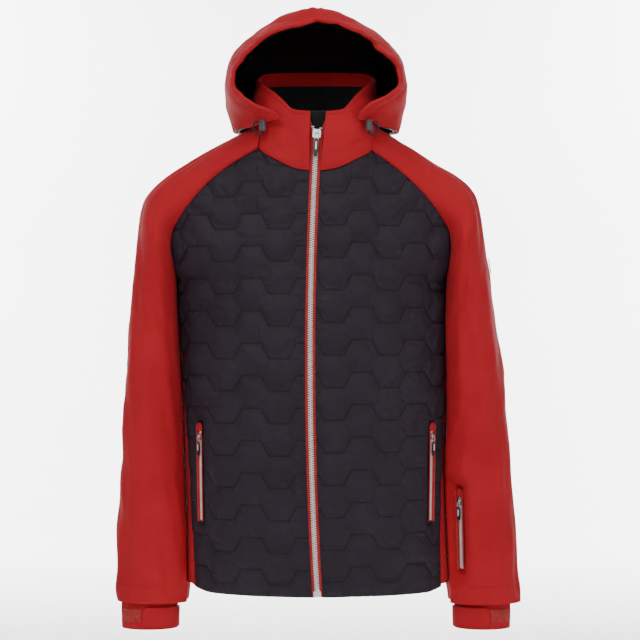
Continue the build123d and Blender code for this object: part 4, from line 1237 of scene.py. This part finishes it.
# %% [markdown]
# ## The cuffs
#
# Each sleeve ends in a turned hem, and a narrower cuff comes out of it. A tab with a hook patch tightens
# the cuff. The cuff is a short tube with a few tucks, and the tab is a strap that follows its front.

# %% The cuffs and their tabs
CUFF_MIDDLE = (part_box("cuff_left")[0].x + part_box("cuff_left")[1].x) / 2
CUFF_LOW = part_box("cuff_left")[0].z
CUFF_HALF, CUFF_DEEP = 0.0463, 0.0373


def cuff_spot(side, turn, height, out=0.0):
    """A point of the cuff: turn 0 faces the body, a quarter faces forward."""
    tuck = ease(SLEEVE_HEM - 0.006, SLEEVE_HEM + 0.012, height) * 0.0015
    pinch = 0.0009 * math.sin(9 * turn) * ease(CUFF_LOW, CUFF_LOW + 0.03, height)
    half = CUFF_HALF + out - tuck + pinch
    deep = CUFF_DEEP + out - tuck + pinch
    return Vector((side * (CUFF_MIDDLE - half * math.cos(turn)), -deep * math.sin(turn), height))


def strap_place(side, turns, heights, out, corner):
    """A strap round the cuff, its corners rounded off."""

    def place(u, v):
        low, high = heights
        end = max(0.0, (u - 1) * (turns[1] - turns[0]) * CUFF_HALF + corner) / corner
        shrink = corner * (1 - math.sqrt(max(0.0, 1 - end**2)))
        height = mix(low + shrink, high - shrink, v)
        puff = 0.0007 * math.sin(math.pi * v) * math.sin(math.pi * min(1.0, u * 1.02))
        return cuff_spot(side, mix(turns[0], turns[1], u), height, out + puff)

    return place


for name, side in SIDES.items():
    cuff = sheet_of(
        72, 12, (0.28, 0.05),
        lambda u, v: cuff_spot(side, math.tau * u, mix(CUFF_LOW + 0.0005, SLEEVE_HEM + 0.010, v)), welded=True,
    )
    face_out(cuff, lambda p: Vector((side * CUFF_MIDDLE, 0, p.z)))
    piece = finished("cuff_band_" + name, cuff, red_cloth, ["cuff_" + name], wall=0.0026)
    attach(piece, "forearm_" + name)
    tab_low, tab_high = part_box("cuff_tab_" + name)[0].z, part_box("cuff_tab_" + name)[1].z
    tab = sheet_of(30, 12, (0.06, 0.034), strap_place(side, (0.12, 1.78), (tab_low, tab_high), 0.0030, 0.009))
    face_out(tab, lambda p: Vector((side * CUFF_MIDDLE, 0, p.z)))
    piece = finished("tab_strap_" + name, tab, red_cloth, ["cuff_tab_" + name], wall=0.002)
    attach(piece, "cuff_tab_" + name)
    patch_low, patch_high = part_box("cuff_patch_" + name)[0].z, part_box("cuff_patch_" + name)[1].z
    patch = sheet_of(24, 10, (0.04, 0.022),
                     strap_place(side, (1.80, 2.75), (patch_low, patch_high), 0.0009, 0.003))
    face_out(patch, lambda p: Vector((side * CUFF_MIDDLE, 0, p.z)))
    piece = finished("hook_tape_" + name, patch, hook_tape, ["cuff_patch_" + name], wall=0.0006)
    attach(piece, "forearm_" + name)

# %% [markdown]
# ## Teeth, tapes and pulls
#
# A moulded zip has two rows of teeth, each half a pitch from the other, that mesh in the middle. One tooth
# is a small block with its edges taken off, and it is copied along the chain. The front zip follows the
# same arc that its slider turns along, so each tooth is turned about the arc's far centre.

# %% Tools for zips


def rounded_block(size, corner, segments=1):
    """A block with its edges taken off, as a mesh to copy."""
    block = bmesh.new()
    bmesh.ops.create_cube(block, size=1, matrix=Matrix.Diagonal((*size, 1)))
    bmesh.ops.bevel(block, geom=block.edges[:], offset=corner, segments=segments, profile=0.5,
                    affect="EDGES", material=-1)
    mesh = bpy.data.meshes.new("block")
    block.to_mesh(mesh)
    block.free()
    return mesh


def copied_along(template, places):
    """One bmesh that holds a copy of a mesh at each place."""
    row = bmesh.new()
    for place in places:
        copy = template.copy()
        copy.transform(place)
        row.from_mesh(copy)
        bpy.data.meshes.remove(copy)
    return row


def part(name, shape, finish, body, replaced=(), rounds=0):
    """A finished hard piece on its body."""
    piece = finished(name, shape, finish, replaced, rounds=rounds)
    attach(piece, body)
    return piece


# %% The front zip's chain
ARC_CENTRE = Vector(JOINTS["main_zip_slide"]["pos_m"])
ARC_AXIS = Vector(JOINTS["main_zip_slide"]["axis"])
ARC_RADIUS = (main_seat.translation - ARC_CENTRE).length
TOOTH_PITCH = 0.0037
CHAIN_LENGTH = 0.742
ABOVE_SLIDER = 0.012


def on_chain(distance):
    """The main zip's own directions at a distance below its slider."""
    turn = Matrix.Rotation(-distance / ARC_RADIUS, 4, ARC_AXIS)
    return Matrix.Translation(ARC_CENTRE) @ turn @ Matrix.Translation(-ARC_CENTRE) @ main_seat


def spread(distance):
    """How far apart the two rows are: meshed below the slider, parted above it."""
    return 0.0 if distance > 0 else 0.45 * -distance


tooth = rounded_block((0.0046, 0.0023, 0.0030), 0.0006)
for name, side in SIDES.items():
    places = []
    count = int((CHAIN_LENGTH + ABOVE_SLIDER) / TOOTH_PITCH)
    for k in range(count):
        distance = -ABOVE_SLIDER + (k + (0.5 if side > 0 else 0)) * TOOTH_PITCH
        if -0.0075 < distance < 0.0075:
            continue
        shift = Matrix.Translation((side * (0.0016 + spread(distance)), 0, -0.0010))
        places.append(on_chain(distance) @ shift)
    part("zip_teeth_" + name, copied_along(tooth, places), teeth_plastic, "jacket",
         ["main_teeth_" + name])

    def tape_place(u, v, side=side):
        """One tape, from the foot of the zip to its top."""
        distance = mix(CHAIN_LENGTH + 0.002, -ABOVE_SLIDER - 0.016, v)
        across = mix(0.0030, 0.0102, u) + spread(distance) * 0.8
        lift = -0.0022 - 0.0012 * u
        return on_chain(distance) @ Vector((side * across, 0, lift))

    tape = sheet_of(4, 120, (0.007, 0.77), tape_place)
    face_out(tape, lambda p: Vector((0, 0.4, p.z)))
    piece = finished("zip_tape_" + name, tape, tape_cloth,
                     ["main_tape"] if side < 0 else [], wall=0.0006)
    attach(piece, "jacket")

box_shape = bmesh.new()
bmesh.ops.create_cube(box_shape, size=1, matrix=on_chain(CHAIN_LENGTH - 0.004) @ Matrix.Translation(
    (0, 0, -0.0012)) @ Matrix.Diagonal((0.012, 0.009, 0.0048, 1)))
bmesh.ops.bevel(box_shape, geom=box_shape.edges[:], offset=0.0014, segments=3, profile=0.5,
                affect="EDGES", material=-1)
part("zip_foot_box", box_shape, teeth_plastic, "jacket", ["main_zip_box"])

# %% [markdown]
# ### Pulls
#
# Each slider carries a wire ring, and through the ring a moulded grip. The ring is a thin circle swept
# round in a full turn. The grip is a flat drop with a raised pale bar, which stays blank.

# %% Rings and grips


def wire_ring(seat, low, long, wide, thick, lift):
    """An oval ring of round wire, lying on the cloth below its slider's eye."""
    ring = bmesh.new()
    bmesh.ops.create_circle(ring, segments=10, radius=thick / 2,
                            matrix=Matrix.Translation((0.5, 0, 0)) @ Matrix.Rotation(math.pi / 2, 4, "X"))
    bmesh.ops.spin(ring, geom=ring.verts[:] + ring.edges[:], cent=(0, 0, 0), axis=(0, 0, 1),
                   angle=math.tau, steps=28, use_merge=True)
    for point in ring.verts:
        outward = math.hypot(point.co.x, point.co.y)
        turn = math.atan2(point.co.y, point.co.x)
        off = outward - 0.5
        point.co.x = math.cos(turn) * ((wide - thick) / 2 + off)
        point.co.y = math.sin(turn) * ((long - thick) / 2 + off)
    bmesh.ops.recalc_face_normals(ring, faces=ring.faces)
    bmesh.ops.transform(ring, matrix=seat @ Matrix.Translation((0, low + long / 2, lift)), verts=ring.verts)
    return ring


def drop_grip(seat, top, long, wide, thick, lift, sink=0.0):
    """A moulded grip: a flat block that narrows at its ends."""
    grip = bmesh.new()
    bmesh.ops.create_cube(grip, size=1)
    bmesh.ops.subdivide_edges(grip, edges=grip.edges, cuts=5, use_grid_fill=True)
    for point in grip.verts:
        along = point.co.y * 2
        waist = 1 - 0.45 * max(0.0, along) ** 2 - 0.35 * max(0.0, -along) ** 4
        point.co.x *= wide * waist
        point.co.z *= thick * (1 - 0.25 * along**4)
        point.co.y *= long
    bmesh.ops.transform(grip, matrix=seat @ Matrix.Translation((0, top - long / 2, lift + sink)),
                        verts=grip.verts)
    return grip


eye_lift = 0.0008 + 0.0004 + 0.0015 + 0.0017
part("main_ring", wire_ring(main_seat, 0.003 - 0.0143, 0.015, 0.0086, 0.0015, eye_lift), plated_metal,
     "main_pull", ["main_pull_ring"], rounds=1)
part("main_grip", drop_grip(main_seat, -0.0085, 0.030, 0.0072, 0.0026, eye_lift), pull_rubber,
     "main_pull", ["main_pull_tab"], rounds=2)
part("main_grip_bar", drop_grip(main_seat, -0.0135, 0.014, 0.0030, 0.0008, eye_lift, 0.0014), teeth_plastic,
     "main_pull", rounds=1)

# %% [markdown]
# ### Short zips and their welts
#
# The hand pockets and the forearm pocket have the same short zip in three places. A red cloth welt frames
# each slot, and a small hood of cloth, the garage, covers the top end of the chain.

# %% The short zips
SHORT_PITCH = 0.0029
short_tooth = rounded_block((0.0034, 0.0018, 0.0024), 0.0004)
short_pieces = {
    "pocket_right": ("jacket", "pocket_%s_right", "pocket_pull_right", 0.024),
    "pocket_left": ("jacket", "pocket_%s_left", "pocket_pull_left", 0.024),
    "sleeve_pocket": ("forearm_left", "sleeve_pocket_%s", "arm_pull", 0.022),
}
for name, (body, node, pull_body, grip_long) in short_pieces.items():
    teeth, tape, pull = node % "teeth", node % "tape", node % "pull"
    seat, length = short_zips[name]
    places = []
    for k in range(int((length - 0.004) / SHORT_PITCH)):
        for side in (-1, 1):
            y = SHORT_ZIP_TOP - 0.002 - (k + (0.5 if side > 0 else 0)) * SHORT_PITCH
            if abs(y) > 0.0048:
                places.append(seat @ Matrix.Translation((side * 0.0012, y, -0.0017)))
    part(name + "_chain", copied_along(short_tooth, places), teeth_plastic, body, [teeth])

    def welt_place(u, v, seat=seat, length=length):
        """Red cloth round the chain: flat beside the teeth, then turned over the slot's edge."""
        y = mix(SHORT_ZIP_TOP - length + 0.001, SHORT_ZIP_TOP - 0.001, v)
        x = mix(-0.0078, 0.0078, u)
        rise = ease(0.0040, 0.0064, abs(x)) * 0.0040
        over = 0.0012 * math.exp(-(((abs(x) - 0.0066) / 0.0012) ** 2))
        return seat @ Vector((x, y, -0.0034 + rise + over))

    welt = sheet_of(22, 60, (0.016, length), welt_place)
    face_out(welt, lambda p, seat=seat: p - seat.col[2].to_3d() * 0.01)
    piece = finished(name + "_welt", welt, tape_cloth, [tape])
    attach(piece, body)

    wide = 0.0125 if name != "sleeve_pocket" else 0.0105
    deep = 0.013 if name != "sleeve_pocket" else 0.014

    def garage_place(u, v, seat=seat, wide=wide, deep=deep):
        """A small hood of cloth, domed across and open at its foot."""
        across = 2 * u - 1
        y = SHORT_ZIP_TOP + 0.002 - deep * (1 - v)
        half = wide / 2 * mix(1.0, 0.82, v)
        dome = 0.0024 * math.sqrt(max(0.0, 1 - abs(across) ** 3)) * mix(1.0, 0.75, v)
        return seat @ Vector((across * half, y, 0.0002 + dome))

    hood_cloth = sheet_of(14, 10, (wide, deep), garage_place)
    face_out(hood_cloth, lambda p, seat=seat: p - seat.col[2].to_3d() * 0.01)
    replaced = {"pocket_right": ["pocket_garages"], "sleeve_pocket": ["sleeve_pocket_garage"]}.get(name, [])
    piece = finished(name + "_garage_cloth", hood_cloth, red_cloth, replaced, wall=0.0009)
    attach(piece, body)

    lift = -0.0004 + 0.0004 + 0.0012 + 0.0017
    part(name + "_ring", wire_ring(seat, 0.002 - 0.0123, 0.013, 0.0066, 0.0013, lift), plated_metal,
         pull_body, [pull], rounds=1)
    part(name + "_grip", drop_grip(seat, -0.0075, grip_long, 0.0058, 0.0022, lift), pull_rubber,
         pull_body, rounds=2)
    part(name + "_grip_bar", drop_grip(seat, -0.0115, 0.011, 0.0024, 0.0007, lift, 0.0012), teeth_plastic,
         pull_body, rounds=1)

# %% [markdown]
# ## Cord locks, elastic, badge and hanger loop
#
# At each side of the hood's foot an elastic cord leaves a cord lock: a small barrel with a sprung button.
# The frame's barrels keep their shape and get a moulded finish. The elastic is a short looped curve. A
# blank badge is sewn on the left sleeve, and a loop of tape inside the neck hangs the jacket.

# %% The small trims


def cord_loop(name, points, thick, finish, body, replaced=()):
    """A soft cord along a few points, as a mesh on its body."""
    curve = bpy.data.curves.new(name, "CURVE")
    curve.dimensions = "3D"
    curve.bevel_depth = thick / 2
    curve.bevel_resolution = 3
    curve.resolution_u = 8
    spline = curve.splines.new("NURBS")
    spline.points.add(len(points) - 1)
    for spot, point in zip(points, spline.points):
        point.co = (*spot, 1)
    spline.order_u = 3
    spline.use_endpoint_u = True
    holder = bpy.data.objects.new(name + "_line", curve)
    bpy.context.scene.collection.objects.link(holder)
    bpy.context.view_layer.update()
    mesh = bpy.data.meshes.new_from_object(holder)
    bpy.data.objects.remove(holder)
    cord = bmesh.new()
    cord.from_mesh(mesh)
    bmesh.ops.remove_doubles(cord, verts=cord.verts, dist=0.00001)
    bmesh.ops.recalc_face_normals(cord, faces=cord.faces)
    return part(name, cord, finish, body, replaced)


for name, side in SIDES.items():
    low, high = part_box("cord_lock_" + name)
    x, y, z = (low.x + high.x) / 2, low.y, (low.z + high.z) / 2
    loop = [
        (x, y + 0.008, z + 0.002), (x + side * 0.010, y + 0.004, z + 0.010),
        (x + side * 0.016, y + 0.007, z + 0.002),
        (x + side * 0.012, y + 0.006, z - 0.011), (x + side * 0.003, y + 0.003, z - 0.016),
        (x - side * 0.003, y + 0.004, z - 0.008), (x, y + 0.008, z - 0.001),
    ]
    cord_loop("elastic_loop_" + name, loop, 0.0028, black_elastic, "jacket",
              ["hood_elastics"] if side < 0 else [])

badge_low, badge_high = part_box("sleeve_badge")
BADGE_HALF_Y = (badge_high.y - badge_low.y) / 2
BADGE_HALF_Z = (badge_high.z - badge_low.z) / 2
badge_z = (badge_high.z + badge_low.z) / 2


def badge_place(u, v):
    """A blank badge on the sleeve's outside: a flat middle and a raised, overlocked edge."""
    across, up = 2 * u - 1, 2 * v - 1
    soft = 1 - 0.16 * (across * up) ** 2
    y = across * BADGE_HALF_Y * soft - 0.016
    height = badge_z + up * BADGE_HALF_Z * soft
    outer, front, _, _ = sleeve_shape(min(height, ARMPIT))
    outer = ridge(mix(0.80, 1.0, (-0.146 - height) / 0.079))[0]
    x = outer - 0.0292 + 0.0305 * math.sqrt(max(0.0, 1 - (y / 0.08) ** 2)) + sway(height)
    edge = max(abs(across), abs(up))
    return Vector((x + 0.0022 + 0.0006 * ease(0.78, 0.9, edge) * (1 - ease(0.95, 1.0, edge)), y, height))


badge = sheet_of(20, 28, (0.016, 0.026), badge_place)
face_out(badge, lambda p: Vector((0.2, 0, p.z)))
piece = finished("blank_badge", badge, pull_rubber, ["sleeve_badge"], wall=0.0012)
bend_at_shoulder(piece)

loop_low, loop_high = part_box("hanger_loop")


def loop_place(u, v):
    """A ribbon that stands off the collar's back and dips a little in the middle."""
    across = 2 * u - 1
    bow = (1 - across**4)
    y = mix(loop_high.y - 0.001, loop_low.y, bow) + 0.0008
    sag = 0.003 * (1 - across**2)
    return Vector((mix(loop_low.x, loop_high.x, u), y, mix(loop_low.z, loop_high.z, v) - sag))


ribbon = sheet_of(40, 6, (0.08, 0.01), loop_place)
face_out(ribbon, lambda p: Vector((p.x, 0.3, p.z)))
piece = finished("hanger_ribbon", ribbon, lining_cloth, ["hanger_loop"], wall=0.001)
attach(piece, "jacket")

# %% [markdown]
# ## Finishes for the frame's own pieces
#
# Sliders, cord locks and their buttons keep their exact shape, so they only need their finish. The pocket
# bags lie inside and get their cloth.

# %% Dress the kept nodes
kept_finishes = {
    plated_metal: ["main_slider", "pocket_slider_right", "pocket_slider_left", "sleeve_pocket_slider"],
    grey_plastic: ["cord_lock_right", "cord_lock_left", "lock_button_right", "lock_button_left"],
    lining_cloth: [
        "pocket_bag_right", "pocket_bag_left",
    ],
}
for finish, nodes in kept_finishes.items():
    for node in nodes:
        mesh = frame["nodes"][node].data
        mesh.materials.clear()
        mesh.materials.append(finish)
print("kept", sum(len(nodes) for nodes in kept_finishes.values()), "nodes of the frame")

# %% [markdown]
# ## Stitching
#
# Topstitching holds each seam flat and is the sign of a finished garment. Every stitch is a short thread
# lying on the cloth. One tool lays them along a path on any panel, because each panel can say where a
# point of its flat cloth lies.

# %% Lay the stitches
STITCH_PITCH = 0.0038
STITCH = rounded_block((0.0027, 0.0006, 0.0005), 0.00015)


def stitches(place, path, steps=400, lift=0.0002, inside=(0, 0, None)):
    """Places for stitches along path(t), which gives the (u, v) of a panel's flat cloth."""
    spots, normals = [], []
    for k in range(steps + 1):
        u, v = path(k / steps)
        here = place(u, v)
        du = place(min(1.0, u + 0.004), v) - place(max(0.0, u - 0.004), v)
        dv = place(u, min(1.0, v + 0.004)) - place(u, max(0.0, v - 0.004))
        normal = du.cross(dv)
        middle = Vector((inside[0], inside[1], here.z if inside[2] is None else inside[2]))
        if normal.dot(here - middle) < 0:
            normal = -normal
        spots.append(here)
        normals.append(normal.normalized() if normal.length > 1e-12 else Vector((0, -1, 0)))
    places, carried = [], 0.0
    for k in range(steps):
        step = spots[k + 1] - spots[k]
        carried += step.length
        if carried >= STITCH_PITCH and step.length > 1e-7:
            carried -= STITCH_PITCH
            along, out = step.normalized(), normals[k]
            across = out.cross(along).normalized()
            out = along.cross(across)
            at = spots[k] + out * lift
            places.append(Matrix((
                (along.x, across.x, out.x, at.x),
                (along.y, across.y, out.y, at.y),
                (along.z, across.z, out.z, at.z),
                (0, 0, 0, 1),
            )))
    return places


def sew(name, places, finish, body):
    """All the stitches of one seam line as one piece."""
    return part(name, copied_along(STITCH, places), finish, body)


for name, side in SIDES.items():
    front = front_place(name, side)
    hem_line = stitches(front, lambda t: (t, 0.035), lift=0.0012)
    zip_line = stitches(front, lambda t: (0.03, 0.01 + 0.98 * t), steps=900, lift=0.0012)
    sew("front_stitching_" + name, hem_line + zip_line, dark_thread, "jacket")
    sleeve = sleeve_place(name, side)
    seam_line = stitches(sleeve, lambda t: (0.012, CAP_SHARE * 0.92 * t), lift=0.0006)
    back_line = stitches(sleeve, lambda t: (0.988, CAP_SHARE * 0.92 * t), lift=0.0006)
    sew("raglan_stitching_" + name, seam_line + back_line, stitch_thread, "jacket")
    wrist = stitches(sleeve, lambda t: (t, 0.962), lift=0.0005, inside=(side * 0.27, 0, None))
    sew("wrist_stitching_" + name, wrist, stitch_thread, "forearm_" + name)
collar_line = stitches(collar_place(), lambda t: (0.01 + 0.98 * t, 0.94), steps=500, lift=0.0006)
neck_line = stitches(collar_place(), lambda t: (0.01 + 0.98 * t, 0.04), steps=500, lift=0.0006)
sew("collar_stitching", collar_line + neck_line, stitch_thread, "jacket")
back_hem = stitches(back_place(), lambda t: (t, 0.03), steps=700, lift=0.0006)
sew("back_stitching", back_hem, stitch_thread, "jacket")
